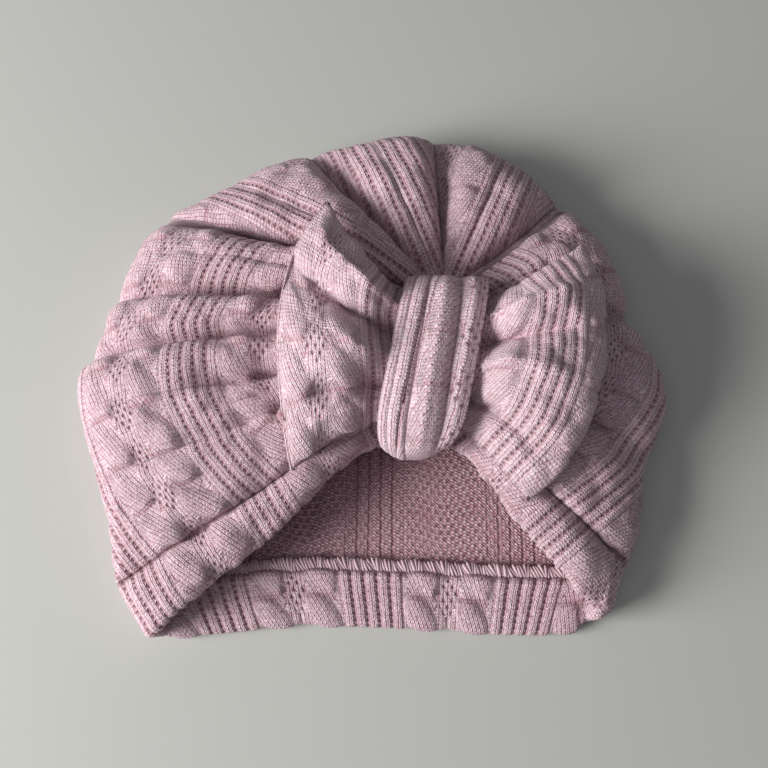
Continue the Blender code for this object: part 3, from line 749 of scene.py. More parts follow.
class Sum:
    """A shader value that can be added, multiplied and so on."""

    def __init__(self, graph, socket):
        self.graph, self.socket = graph, socket

    def _math(self, operation, *others):
        values = [o.socket if isinstance(o, Sum) else o for o in (self, *others)]
        node = self.graph.node("ShaderNodeMath", {"operation": operation}, *values)
        return Sum(self.graph, node.outputs[0])

    def __add__(self, other):
        return self._math("ADD", other)

    __radd__ = __add__

    def __mul__(self, other):
        return self._math("MULTIPLY", other)

    __rmul__ = __mul__

    def __sub__(self, other):
        return self._math("SUBTRACT", other)

    def __rsub__(self, other):
        return self * -1.0 + other

    def __truediv__(self, other):
        return self._math("DIVIDE", other)

    def __pow__(self, other):
        return self._math("POWER", other)

    def sine(self):
        return self._math("SINE")

    def cosine(self):
        return self._math("COSINE")

    def size(self):
        return self._math("ABSOLUTE")

    def root(self):
        return self._math("SQRT")

    def wrap(self, period):
        """The remainder after whole periods, from 0 to the period."""
        return self._math("WRAP", period, 0.0)

    def whole(self):
        return self._math("FLOOR")

    def most(self, other):
        return self._math("MAXIMUM", other)

    def clipped(self):
        return self._math("MINIMUM", 1.0)._math("MAXIMUM", 0.0)

    def between(self, low, high):
        """0 at low and below, 1 at high and above, smooth in between."""
        settings = {"interpolation_type": "SMOOTHSTEP"}
        node = self.graph.node("ShaderNodeMapRange", settings)
        self.graph.link(self.socket, node.inputs["Value"])
        node.inputs["From Min"].default_value = low
        node.inputs["From Max"].default_value = high
        return Sum(self.graph, node.outputs["Result"])


# %% The nodes of a material


class Graph:
    """The nodes of one material."""

    def __init__(self, name):
        self.material = bpy.data.materials.new(name)
        self.material.use_nodes = True
        self.tree = self.material.node_tree
        self.shader = self.tree.nodes["Principled BSDF"]

    def link(self, source, socket):
        """Feeds a socket from another one, or sets its value."""
        if isinstance(source, Sum):
            source = source.socket
        if isinstance(source, bpy.types.NodeSocket):
            self.tree.links.new(source, socket)
        else:
            socket.default_value = source

    def node(self, kind, settings=None, *values, **named):
        """Adds a node, with its settings and its inputs by number or by name."""
        node = self.tree.nodes.new(kind)
        for key, value in (settings or {}).items():
            setattr(node, key, value)
        for number, value in enumerate(values):
            self.link(value, node.inputs[number])
        for key, value in named.items():
            self.link(value, node.inputs[key])
        return node

    def mix(self, share, first, second):
        """Mixes two colours."""
        node = self.node("ShaderNodeMix", {"data_type": "RGBA"})
        for number, value in ((0, share), (6, first), (7, second)):
            self.link(value, node.inputs[number])
        return Sum(self, node.outputs[2])

    def noise(self, vector, scale, detail=2.0):
        """Cloudy values round 0.5."""
        node = self.node("ShaderNodeTexNoise", {"noise_dimensions": "3D"})
        self.link(vector, node.inputs["Vector"])
        node.inputs["Scale"].default_value = scale
        node.inputs["Detail"].default_value = detail
        return Sum(self, node.outputs[0])


# %% [markdown]
# ## The yarn
#
# On the right side every stitch is a V of two strands. Eyelets are dark holes, in staggered
# rows inside the diamonds and in single file between the ribs. The back of the knit shows
# small bumps in rows with open ladders between them. Hair would give real fibres, but at this
# distance it is only a soft edge, and it can't leave the render. So formulas on the wale and
# the course draw the stitches. The colour is paler where the yarn stands up and deeper in the
# gaps between strands: painted shade that goes with their bump. Soft cotton has a faint fuzz,
# which varies the tone at random.

# %% The stitches
TURN = 2.0 * math.pi
# how far the yarn strays, in wales and in courses, and the waves of the wrong side's courses
STRAY_SCALE, STRAY_WALES, STRAY_COURSES = 330.0, 0.55, 0.8
WAVE_WALES, WAVE_COURSES = 18.0, 1.3
# the weights of x and y that flatten a hole, where it is fully dark and where it ends
DIAMOND_HOLE = (1.5, 0.8, 0.14, 0.36)
RIB_HOLE = (2.2, 1.0, 0.12, 0.38)
LADDER_HOLE = (1.0, 1.0, 0.10, 0.38)
DIAMOND_EDGE, VALLEY_EDGE, RIBS_EDGE = 0.7, (0.24, 0.5), (1.7, 0.9)
FLECK_SCALE, FLECK = 0.85, 0.9
# in wales from the middle of a diamond: where a band begins, is full, fades and ends
LEAN_BAND, SHADOW_BAND, LADDER_FADE = (2.0, 3.5, 9.0, 10.5), (2.2, 3.8, 8.0, 10.0), (8.0, 11.0)
SHADOW_FADE, DIAMOND_FADE = (0.03, 0.14), (-0.1, 0.6)
V_SLANT, V_BODY, V_LEGS = 0.55, 0.45, 0.55
BEAD_SLANT, BEAD_WAVE, BEAD_BASE, BEAD_DROP = 0.22, 0.30, 0.80, 0.05
LADDER_WAVE, LADDER_SHARE, LADDER_LEAST = 3.0, 0.35, 0.62


def in_pair(value, shift=0.0):
    """The place in a cell two stitches wide, counted from the cell's middle."""
    return (value / 2.0 + shift).wrap(1.0) - 0.5


def hole(x, y, shape):
    """1 inside a small oval hole, 0 outside it."""
    x_weight, y_weight, inner, outer = shape
    return 1.0 - (x * x * x_weight + y * y * y_weight).root().between(inner, outer)


def band(off, limits):
    """1 inside a band of wales, fading at both of its sides."""
    begins, full, fades, ends = limits
    return off.between(begins, full) * (1.0 - off.between(fades, ends))


def right_side_strands(wale, course, along, off):
    """The strands of the right side: two legs of a V, that lean with the leaf."""
    lean = (along * 2.0 - 1.0) * band(off, LEAN_BAND) * LEAF_LEAN
    half = ((wale - lean).wrap(1.0) - 0.5).size() * 2.0
    body = 1.0 - half * half
    leg = 1.0 - ((half - 0.5).size() * 2.0) ** 2.0
    slant = ((course + half * V_SLANT) * TURN).cosine() * 0.5 + 0.5
    return body.most(0.0).root() * V_BODY + leg * slant * V_LEGS


def wrong_side_strands(wale, course):
    """The strands of the wrong side: small beads in rows."""
    slanted = course + (wale * TURN).sine() * BEAD_SLANT
    bead = (slanted * TURN).cosine() * 0.5 + 0.5
    return bead * ((wale * TURN).cosine() * BEAD_WAVE + BEAD_BASE) - BEAD_DROP


def knit_marks(graph, wrong_side):
    """The strands as a height, the eyelets as a mask, and the rib valleys and leaf starts for bump
    and painted shade.
    """
    uv = graph.node("ShaderNodeUVMap", {"uv_map": "knit"})
    parts = graph.node("ShaderNodeSeparateXYZ", None, uv.outputs["UV"])
    place = graph.node("ShaderNodeTexCoord").outputs["Object"]
    fleck = graph.noise(uv.outputs["UV"], FLECK_SCALE, 1.0) - 0.5
    uneven = graph.noise(place, STRAY_SCALE, 2.0) - 0.5
    wale = Sum(graph, parts.outputs[0]) + uneven * STRAY_WALES
    course = Sum(graph, parts.outputs[1]) + uneven * STRAY_COURSES
    across = (wale + PANEL_WALES / 2).wrap(PANEL_WALES) - PANEL_WALES / 2
    off = across.size()
    if wrong_side:
        course = course + (across * (TURN / WAVE_WALES)).cosine() * WAVE_COURSES
    along = (course / PANEL_COURSES).wrap(1.0)
    from_middle = (along * 2.0 - 1.0).size()

    # Eyelets sit on every second wale and course, staggered, inside the diamonds.
    shift = (course / 2.0).whole().wrap(2.0) * 0.5
    pair_y = in_pair(course)
    reach = from_middle * DIAMOND_HALF_WIDTH - DIAMOND_EDGE
    diamond = 1.0 - (off - reach).between(*DIAMOND_FADE)
    holes = hole(in_pair(across, shift), pair_y, DIAMOND_HOLE) * diamond

    # Between the ribs a single file of eyelets.
    rib = (((off - FIRST_RIB_AT) / RIB_PITCH + 0.5).wrap(1.0) - 0.5).size()
    in_ribs = off.between(FIRST_RIB_AT - RIBS_EDGE[0], FIRST_RIB_AT - RIBS_EDGE[1])
    file_x = (0.5 - rib) * (RIB_PITCH / 2.0)
    holes = holes.most(hole(file_x, in_pair(course, 0.5), RIB_HOLE) * in_ribs)

    if wrong_side:
        strands = wrong_side_strands(wale, course)
        ladder = (from_middle * LADDER_WAVE).sine() * (1.0 - off.between(*LADDER_FADE))
        open_work = hole(in_pair(wale, shift), pair_y, LADDER_HOLE)
        holes = holes.most(open_work * (ladder * LADDER_SHARE + LADDER_LEAST))
    else:
        strands = right_side_strands(wale, course, along, off)
    # A shadow lies in the valleys between the ribs and under the start of each leaf.
    under = band(off, SHADOW_BAND) * (1.0 - along.between(*SHADOW_FADE))
    valley = (rib.between(*VALLEY_EDGE) * in_ribs).most(under)
    return place, strands + fleck * FLECK, holes, valley


# %% Knit materials
# Heights in metres, as the Bump node's distance is one metre.
STITCH_RISE, HOLE_DEPTH, FUZZ_RISE, VALLEY_DEPTH = 0.00044, 0.00055, 0.00022, 0.00030
SEAM_DEPTH, SEAM_INNER, SEAM_OUTER, SEAM_SHADE = 0.0012, 0.0002, 0.0011, 0.6
HOLE_TONE, VALLEY_SHADE, TONE_SHIFT = 0.68, 0.45, 0.68
HOLE_FUZZ, HOLE_SHADE, LINT_RISE = 0.9, 0.30, 1.5
# how much of the tone comes from the strands, the clouds, the fuzz and the lint
STRAND_SHARE, CLOUD_SHARE, FUZZ_SHARE, LINT_SHARE = 0.90, 0.25, 0.75, 0.35
CLOUD_SCALE, FUZZ_SCALE, LINT_SCALE = 70.0, 2300.0, 900.0
COTTON = {
    "Roughness": 0.95,
    "Specular IOR Level": 0.12,
    "Sheen Weight": 0.30,
    "Sheen Roughness": 0.5,
    "Sheen Tint": (1.0, 0.93, 0.96, 1.0),
}


def finish_material(graph, colour, height, strength, distance, settings):
    """Joins the colour and the bump to the shader and sets the numbers that stay the same."""
    graph.link(colour, graph.shader.inputs["Base Color"])
    bump = graph.node("ShaderNodeBump")
    bump.inputs["Strength"].default_value = strength
    bump.inputs["Distance"].default_value = distance
    graph.link(height, bump.inputs["Height"])
    graph.link(bump.outputs["Normal"], graph.shader.inputs["Normal"])
    for name, value in settings.items():
        graph.shader.inputs[name].default_value = value
    return graph.material


def knit_material(name, light, deep, wrong_side=False):
    """Cotton knit: light on the strands and deep in the gaps as painted shade, deeper still in the
    eyelets.
    """
    graph = Graph(name)
    place, strands, holes, valley = knit_marks(graph, wrong_side)
    cloudy = graph.noise(place, CLOUD_SCALE, 3.0)
    fuzz = graph.noise(place, FUZZ_SCALE, 3.0)
    lint = graph.noise(place, LINT_SCALE, 2.0)
    # The strands' share of the tone is painted shade: lighter on the raised yarn, darker between.
    tone = strands * STRAND_SHARE + cloudy * CLOUD_SHARE + fuzz * FUZZ_SHARE
    tone = (tone + lint * LINT_SHARE - TONE_SHIFT).clipped()
    # Along the hem's stitch line the cloth is pressed into a groove, with painted shade in it.
    seam = Sum(graph, graph.node("ShaderNodeAttribute", {"attribute_name": "seam"}).outputs["Fac"])
    groove_dent_and_shade = 1.0 - seam.between(SEAM_INNER, SEAM_OUTER)
    # Painted shade: the valleys between the ribs and under each leaf's start are darker.
    tone = (tone * (1.0 - valley * VALLEY_SHADE) * (1.0 - groove_dent_and_shade * SEAM_SHADE)).clipped()
    colour = graph.mix(tone, (*deep, 1.0), (*light, 1.0))
    hole_colour = tuple(c * HOLE_TONE for c in deep)
    shade = holes * (fuzz * HOLE_FUZZ + HOLE_SHADE)
    colour = graph.mix(shade.clipped(), colour, (*hole_colour, 1.0))
    height = strands * STITCH_RISE - holes * HOLE_DEPTH + fuzz * FUZZ_RISE
    height = height + lint * (FUZZ_RISE * LINT_RISE)
    height = height - valley * VALLEY_DEPTH - groove_dent_and_shade * SEAM_DEPTH
    return finish_material(graph, colour, height, 1.0, 1.0, COTTON)


KNIT_LIGHT, KNIT_DEEP = (0.96, 0.78, 0.865), (0.40, 0.165, 0.215)
PURL_LIGHT, PURL_DEEP = (0.99, 0.80, 0.87), (0.44, 0.19, 0.24)
crown_knit = knit_material("crown_knit", KNIT_LIGHT, KNIT_DEEP)
crown_purl = knit_material("crown_purl", PURL_LIGHT, PURL_DEEP, wrong_side=True)
print("nodes in the knit material:", len(crown_knit.node_tree.nodes))

# %% [markdown]
# ## Where the wales run on the crown
#
# At the sides the wales start square to the hem and run round the gather, across the folds.
# At the top they come over the edge and run straight towards the gather. A flat pattern laid
# over the folds would stretch down their sides. So the wales and courses are counted along
# the cloth itself. Between two creases the stitches keep their true size; what is missing
# lies hidden inside the crease.

# %% Knit coordinates of the crown
DIAMOND_FROM_GATHER, WALE_STRETCH = 0.078, 1.03
# outline share, how far the wales lean outward there, in metres
WALE_LEAN = (
    (0.00, 0.000),
    (0.05, -0.011),
    (0.10, -0.022),
    (0.16, -0.030),
    (0.22, -0.031),
    (0.30, -0.018),
    (0.40, 0.000),
)
# The wales change their direction between these two places, inside a crease.
SIDE_END, TOP_START = 0.326, 0.331


def run_from_anchors(points, anchors):
    """The real distance of each column from the anchor column of its own stretch. Points
    are columns by rows; anchors give the first column, anchor and last column of each."""
    steps = np.linalg.norm(np.diff(points, axis=0), axis=-1)
    run = np.concatenate([np.zeros((1, points.shape[1])), np.cumsum(steps, axis=0)])
    out = np.zeros_like(run)
    for first, anchor, last in anchors:
        out[first : last + 1] = run[first : last + 1] - run[anchor]
    return out


def stretches(shares):
    """The columns between creases, each with its middle column."""
    cuts = [0.0, *column(CREASES, 1), 1.0]
    found = []
    for low, high in zip(cuts[:-1], cuts[1:]):
        inside = np.nonzero((shares >= low) & (shares <= high))[0]
        if len(inside):
            found.append((inside[0], inside[len(inside) // 2], inside[-1]))
    return found


def crown_knit_at(shares, points):
    """The wale and the course of the upper layer's points."""
    smooth = points.copy()
    smooth[..., 2] = 0.0
    anchors = stretches(shares)
    first, last = anchors[0], anchors[-1]
    anchors[0] = (first[0], first[0], first[2])
    anchors[-1] = (last[0], last[2], last[2])
    mirrored = shares[:, None] > 0.5
    from_hem = np.minimum(shares, 1.0 - shares)
    runs = []
    for surface in (points, smooth):
        arc = run_from_anchors(surface, anchors)
        for low, anchor, high in anchors:
            arc[low : high + 1] += shares[anchor] * OUTLINE_RUN
        runs.append(np.where(mirrored, OUTLINE_RUN - arc, arc))
    course_run, plan_run = runs
    outward = np.linalg.norm(smooth - smooth[:, :1], axis=-1)
    lean = np.interp(from_hem, column(WALE_LEAN, 0), column(WALE_LEAN, 1))
    side_wale = outward * WALE_STRETCH - DIAMOND_FROM_GATHER + lean[:, None]
    turn = ease((from_hem - SIDE_END) / (TOP_START - SIDE_END))[:, None] * math.pi / 2
    start = SIDE_END * OUTLINE_RUN
    top_wale, top_course = plan_run - start, start - outward
    wale = side_wale * np.cos(turn) + top_wale * np.sin(turn)
    course = course_run * np.cos(turn) + top_course * np.sin(turn)
    return wale / WALE, course / COURSE


# %% [markdown]
# ## The crown
#
# One sheet of cloth: the upper layer, the back that lies on the floor, and the hem turned in
# all round the opening. Separate pieces would be simpler, but they would show a seam that
# the real cap doesn't have. The columns lie closer together at both ends, the rows at the outline.

# %% Grids of the crown
COLUMNS, TOP_ROWS, BACK_ROWS = 540, 92, 18
HEM_LINES, FOLD_STEPS = 12, 5
MOST_TRIANGLES, FLAT_BELOW = 190000, 0.004
END_CROWDING, RIM_CROWDING, BACK_CROWDING = 0.18, 0.7, 1.7
DEEP_CREASE, CREASE_FLATTENS, CREASE_NEAR = 0.2, 0.8, 0.45
GATHER_FLAT, TOP_RELIEF, TURN_RELIEF = 0.22, 0.5, 0.85


def end_to_end(share):
    """Spreads columns from end to end, closer together at both ends."""
    return (1.0 - END_CROWDING) * share + END_CROWDING * (0.5 - 0.5 * np.cos(math.pi * share))


def reach_of(share):
    """Spreads rows from the gather to the outline, closer together at the outline."""
    return (1.0 - RIM_CROWDING) * share + RIM_CROWDING * np.sin(0.5 * math.pi * share)


def upper_shares():
    """Outline shares of the columns: the left hem, the crown and the right hem."""
    hem = np.linspace(0.0, GROOVE_SHARE, HEM_LINES + 1)
    even = end_to_end(np.linspace(0.0, 1.0, COLUMNS + 1))
    crown = GROOVE_SHARE + even * (1.0 - 2.0 * GROOVE_SHARE)
    return np.concatenate([hem[:-1], crown, (1.0 - hem)[::-1][1:]])


def crease_nearness(share):
    """1 on the line of a deep crease, 0 between creases."""
    near = np.zeros_like(share)
    for _, place, _, _, _, middle, _, width in CREASES:
        if middle > DEEP_CREASE:
            near = np.maximum(near, np.exp(-(((share - place) / (CREASE_NEAR * width)) ** 2)))
    return near


def upper_grid():
    """The upper layer. The relief is lower at the gather, in creases and over the top."""
    shares = upper_shares()
    reach = reach_of(np.linspace(0.0, 1.0, TOP_ROWS + 1))
    share, row = np.meshgrid(shares, reach, indexing="ij")
    points = upper_layer(share, row)
    wale, course = crown_knit_at(shares, points)
    from_end = np.minimum(share, 1.0 - share)
    over = np.clip((from_end - SIDE_END) / (TOP_START - SIDE_END), 0.0, 1.0)
    kept = (1.0 - TOP_RELIEF * ease(over)) * (1.0 - TURN_RELIEF * np.sin(math.pi * over))
    relief = ease(row / GATHER_FLAT) * (1.0 - CREASE_FLATTENS * crease_nearness(share)) * kept
    seam = np.abs(from_end - GROOVE_SHARE) * OUTLINE_RUN
    return grid_of(points, wale, course, relief, seam)


# %% The back and its hem
BACK_DIAMOND_X, BACK_DIAMOND_DEPTH, BACK_EDGE_SHARE = 0.0267, 0.0165, 0.965
RELIEF_SINKS = 0.02


def back_wale_course(points):
    """On the back the wales run straight up from the opening."""
    wale = (points[..., 0] - BACK_DIAMOND_X) / WALE
    edge = -CROWN_LENGTH / 2 * BACK_EDGE_SHARE
    return wale, (points[..., 1] - edge) / COURSE


def lower_grid(upper):
    """The back. Its relief starts as the upper layer's and sinks away under the hat."""
    shares = upper_shares()[HEM_LINES : HEM_LINES + COLUMNS + 1]
    reach = np.linspace(0.0, 1.0, BACK_ROWS + 1) ** BACK_CROWDING
    share, row = np.meshgrid(shares, reach, indexing="ij")
    points = lower_layer(share, row)
    wale, course = back_wale_course(points)
    raised = upper[2][HEM_LINES : HEM_LINES + COLUMNS + 1, -1:]
    fade = 1.0 - ease(row / RELIEF_SINKS)
    seam = np.full(raised.shape, FAR_FROM_SEAM)
    return points, np.stack([wale, course], axis=-1), raised * fade, seam * np.ones_like(fade)


def back_hem_grid(back, upper):
    """The back hem, whose two ends take their relief from the upper layer's hem."""
    wale, course = back_wale_course(back)
    points, knit, raised, seam = grid_of(back, wale, course, 0.0)
    raised[0, :] = upper[2][: HEM_LINES + 1, -1]
    raised[-1, :] = upper[2][::-1][: HEM_LINES + 1, -1]
    return points, knit, raised, seam


# %% The outside of the hem


def hem_outside():
    """The hem's outside in three stretches, edge first: left arm, back and right arm."""
    lines = np.linspace(0.0, 1.0, HEM_LINES + 1)
    reach = reach_of(np.linspace(0.0, 1.0, TOP_ROWS + 1))
    row, line = np.meshgrid(reach, lines, indexing="ij")
    left = upper_layer(line * GROOVE_SHARE, row)
    right = upper_layer(1.0 - line * GROOVE_SHARE, row)
    across = end_to_end(np.linspace(0.0, 1.0, COLUMNS + 1))
    across, line = np.meshgrid(across, lines, indexing="ij")
    return left, back_hem(across, line), right[::-1]


def grid_normals(points, upward):
    """The direction out of the cloth at each point of a grid, up or down."""
    normal = np.cross(np.gradient(points, axis=0), np.gradient(points, axis=1))
    normal = normal / np.maximum(np.linalg.norm(normal, axis=-1, keepdims=True), 1e-12)
    return normal * np.where(normal[..., 2:] * upward < 0, -1.0, 1.0)


def smoothed_round(vectors, times):
    """Averages directions with their neighbours round the loop of the opening."""
    for _ in range(times):
        vectors = vectors * 2.0 + np.roll(vectors, 1, axis=0) + np.roll(vectors, -1, axis=0)
        vectors = vectors / np.linalg.norm(vectors, axis=-1, keepdims=True)
    return vectors


def round_the_opening(left, back, right):
    """Three stretches of the hem joined to one loop."""
    return np.concatenate([left, back[1:], right[1:]])


# %% The hem turned in
# times that directions are averaged, and how plump the inside is in the middle and near
# the raw edge, with the edge's place and width
HEM_SMOOTHING = 10
HEM_INNER_PLUMP, HEM_EDGE_PLUMP, HEM_EDGE_AT, HEM_EDGE_WIDTH = 0.0010, 0.0020, 0.88, 0.10
# the share of a stretch over which its relief grows, how far inside the fold the arms keep
# the relief of their outside, and how soon the back gets its own
END_FADE, ARM_KEEPS, BACK_GROWS = 0.04, 0.004, 0.003


def turned_hem(left, back, right):
    """The cloth from the edge of the opening round the fold and back inside."""
    outside = round_the_opening(left, back, right)
    sides = (grid_normals(left, 1), grid_normals(back, -1), grid_normals(right, 1))
    normal = smoothed_round(round_the_opening(*sides), HEM_SMOOTHING)
    radius = CLOTH + HEM_FOLD_GAP / 2
    edge, up = outside[:, 0], normal[:, 0]
    out = edge - outside[:, 1]
    out = out - up * (out * up).sum(-1, keepdims=True)
    out = smoothed_round(out / np.linalg.norm(out, axis=-1, keepdims=True), HEM_SMOOTHING)
    rows = [edge]
    for step in range(1, FOLD_STEPS):
        angle = math.pi * step / FOLD_STEPS
        lift = up * (math.cos(angle) - 1.0) + out * math.sin(angle)
        rows.append(edge + lift * radius)
    lines = np.linspace(0.0, 1.0, HEM_LINES + 1)[None, :, None]
    near_raw_edge = np.exp(-(((lines - HEM_EDGE_AT) / HEM_EDGE_WIDTH) ** 2))
    plump = HEM_INNER_PLUMP * np.sin(math.pi * lines) + HEM_EDGE_PLUMP * near_raw_edge
    inner = outside - normal * (2.0 * radius + plump)
    rows.extend(inner[:, line] for line in range(HEM_LINES + 1))
    return np.stack(rows, axis=1), outside, normal


def turned_grids(sheet, upper, stops):
    """The turned-in cloth as three stretches, each with its own run of wales."""
    depth = np.cumsum(np.linalg.norm(np.diff(sheet, axis=1), axis=-1), axis=1)
    depth = np.concatenate([np.zeros((len(sheet), 1)), depth], axis=1)
    left_wale, right_wale = upper[1][0, :, 0], upper[1][-1, ::-1, 0]
    back_wale = (sheet[stops[0] : stops[1] + 1, 0, 0] - BACK_DIAMOND_X) / WALE
    wales = (left_wale, back_wale, right_wale)
    offsets = (0.0, BACK_DIAMOND_DEPTH, 0.0)
    edges = (upper[2][0], None, upper[2][-1, ::-1])
    grids = []
    spans = ((0, stops[0]), stops, (stops[1], len(sheet) - 1))
    for (first, last), wale, offset, edge in zip(spans, wales, offsets, edges):
        points, deep = sheet[first : last + 1], depth[first : last + 1]
        wale = np.repeat(wale[:, None], points.shape[1], axis=1)
        course = (offset - deep) / COURSE
        from_end = np.linspace(0.0, 1.0, len(points))[:, None]
        fade = ease(np.minimum(from_end, 1.0 - from_end) / END_FADE)
        points, knit, raised, seam = grid_of(points, wale, course, fade)
        if edge is not None:
            keep = 1.0 - ease(deep / ARM_KEEPS)
            raised = raised * (1.0 - keep) + edge[:, None] * keep
        else:
            raised = raised * ease(deep / BACK_GROWS)
        grids.append((points, knit, raised, seam))
    return grids


# %% Make the crown


def seam_grid(upper):
    """Closes the slot of the gather, where the folds are sewn together."""
    start = upper[0][:, 0]
    half = len(start) // 2 + 1
    points = np.stack([start[:half], start[::-1][:half]], axis=1)
    return grid_of(points, np.zeros(points.shape[:2]), np.zeros(points.shape[:2]), 0.0)


def make_crown():
    """The whole cap, and the points and normals of its turned hem for the stitching."""
    upper = upper_grid()
    left, back, right = hem_outside()
    sheet, outside, normal = turned_hem(left, back, right)
    stops = (len(left) - 1, len(left) + len(back) - 2)
    grids = [upper, lower_grid(upper), back_hem_grid(back, upper), seam_grid(upper)]
    grids += turned_grids(sheet, upper, stops)
    crown = cloth_object("crown_cloth", grids, [crown_knit, crown_purl])
    thicken(crown, CLOTH)
    thin_out_inside(crown, MOST_TRIANGLES, flat_below=FLAT_BELOW)
    return crown, outside, normal


crown, hem_points, hem_normals = make_crown()
print("crown:", triangles(crown), "triangles")

# %% [markdown]
# ## The bow
#
# The bow is a strip of the same knit, doubled and sewn to a ring, then pressed flat and
# pinched in the middle. Its loops could be inflated by a simulation, but their folds would
# move with every size. So each half is one grid that starts under the waist, goes out along
# the crown, folds over at the end and comes back on top. Its wales run parallel to its ends.

# %% Sizes and tables of the bow
BOW_CLOTH, BOW_PUFF, BOW_WAIST_PUFF, BOW_WAIST_LENGTH = 0.0026, 0.0195, 0.0135, 0.037
BOW_Y, BOW_SPREAD, BOW_EDGE_PUFF_SHARE = 0.0, 1.8, 0.62
BOW_LEFT_REACH, BOW_RIGHT_REACH, BOW_RISE, BOW_LENGTH = 0.052, 0.060, 0.013, 0.096
BOW_THINNING, BOW_END_ROUND = {"left": 0.60, "right": 0.40}, 0.42
KNOT_WIDTH, BOW_SEAT = 0.0285, 0.0007

# place across from the lower to the upper edge, then for each end its reach and rise
BOW_ENDS = (
    (0.00, 0.92, -0.40, 0.52, -0.51),
    (0.18, 0.96, -0.27, 0.76, -0.35),
    (0.38, 1.00, -0.05, 0.91, -0.12),
    (0.60, 1.00, 0.15, 0.96, 0.09),
    (0.80, 0.93, 0.36, 0.96, 0.26),
    (1.00, 0.72, 0.575, 0.87, 0.42),
)
# side, place across at the waist and at the end, depth beside the wrap and at the end, and
# width. A depth below 0 is a ridge, and depths are shares of the puff.
BOW_FOLDS = (
    ("left", 0.64, 0.78, 0.75, 0.34, 0.070),
    ("left", 0.84, 0.91, -0.30, -0.30, 0.090),
    ("left", 0.45, 0.50, -0.16, -0.10, 0.130),
    ("left", 0.27, 0.27, 0.34, 0.02, 0.060),
    ("left", 0.12, 0.14, -0.12, -0.05, 0.080),
    ("right", 0.62, 0.60, 0.80, 0.05, 0.080),
    ("right", 0.82, 0.80, -0.26, -0.24, 0.130),
    ("right", 0.42, 0.36, -0.16, -0.18, 0.150),
    ("right", 0.20, 0.09, 0.36, 0.03, 0.060),
)
BOW_EDGE_CLOSE, BOW_EDGE_WIDTH = 0.28, 0.13
BOW_STATIONS, BOW_LINES, BOW_CROWDING = 128, 130, 1.6
BOW_WALE_AT = {"left": 0.035, "right": 0.0645}
BOW_RELIEF, BOW_MOST_TRIANGLES = 0.85, 150000
BOW_WAIST_EDGE, BOW_FULL_AT, BOW_FOLD_ROOM = 0.58, 0.35, 0.72
BOW_RIPPLE_SCALE, BOW_FOLD_RUN, BOW_FOLD_TURN, BOW_TURN_SHARE = 1.3, 1.06, 0.003, 0.1
# where things begin on the way out from the waist, and over what share of it they grow
FOLD_BEGINS, FOLD_CHANGES = (0.06, 0.36), (0.35, 0.6)
LOOP_OPENS, RELIEF_BEGINS = (0.2, 0.25), (0.15, 0.35)


# %% Shape of the bow


def knot_axis(y):
    """The middle line of the knot, leaning as the gather does."""
    return GATHER_X + GATHER_LEAN / GATHER_LENGTH * (y - GATHER_Y)


def bow_plan(side, across, reach):
    """Plan of one half of the bow: reach is 0 at the waist and 1 at its outer end."""
    places = column(BOW_ENDS, 0)
    left = side == "left"
    sign = -1.0 if left else 1.0
    far = BOW_LEFT_REACH if left else BOW_RIGHT_REACH
    out = curve_through(places, column(BOW_ENDS, 1 if left else 3), across) * far
    rise = curve_through(places, column(BOW_ENDS, 2 if left else 4), across)
    waist_y = BOW_Y + (across - 0.5) * BOW_WAIST_LENGTH
    end = np.stack([GATHER_X + sign * out, BOW_Y + rise * BOW_LENGTH], axis=-1)
    waist = np.stack([knot_axis(waist_y), waist_y], axis=-1)
    return waist + (end - waist) * np.stack([reach, reach**BOW_SPREAD], axis=-1)


def waist_floor():
    """The height of the crown under the middle of the bow."""
    return float(upper_height(np.array([[GATHER_X, GATHER_Y]]))[0])


def bow_layers(side, across, plan, reach):
    """The heights of the bow's lower and upper outside."""
    from_axis = np.abs(plan[..., 0] - knot_axis(plan[..., 1]))
    clear = ease((from_axis - KNOT_WIDTH / 2) / BOW_RISE)
    belly = np.sin(math.pi * np.clip(across, 0.0, 1.0))
    full = BOW_PUFF * (BOW_EDGE_PUFF_SHARE + (1.0 - BOW_EDGE_PUFF_SHARE) * belly)
    full = full * (1.0 + BOW_THINNING[side] * (BOW_FULL_AT - reach))
    base = upper_height(plan) + BOW_SEAT
    plump = BOW_WAIST_EDGE + (1.0 - BOW_WAIST_EDGE) * belly
    waist = waist_floor() + BOW_SEAT + BOW_WAIST_PUFF * plump
    return base, waist + (base + full - waist) * clear


# %% Folds of the bow


def bow_fold_depth(side, across, reach):
    """How far the folds press the upper side of the bow down."""
    depth = np.zeros(np.broadcast(across, reach).shape)
    for fold_side, at_waist, at_end, near, far, width in BOW_FOLDS:
        if fold_side == side:
            place = at_waist + (at_end - at_waist) * reach
            along = near + (far - near) * ramp(reach, *FOLD_CHANGES)
            start = ramp(reach, *FOLD_BEGINS)
            depth += along * start * crease((place - across) / width)
    return depth * BOW_PUFF


# %% One half of the bow


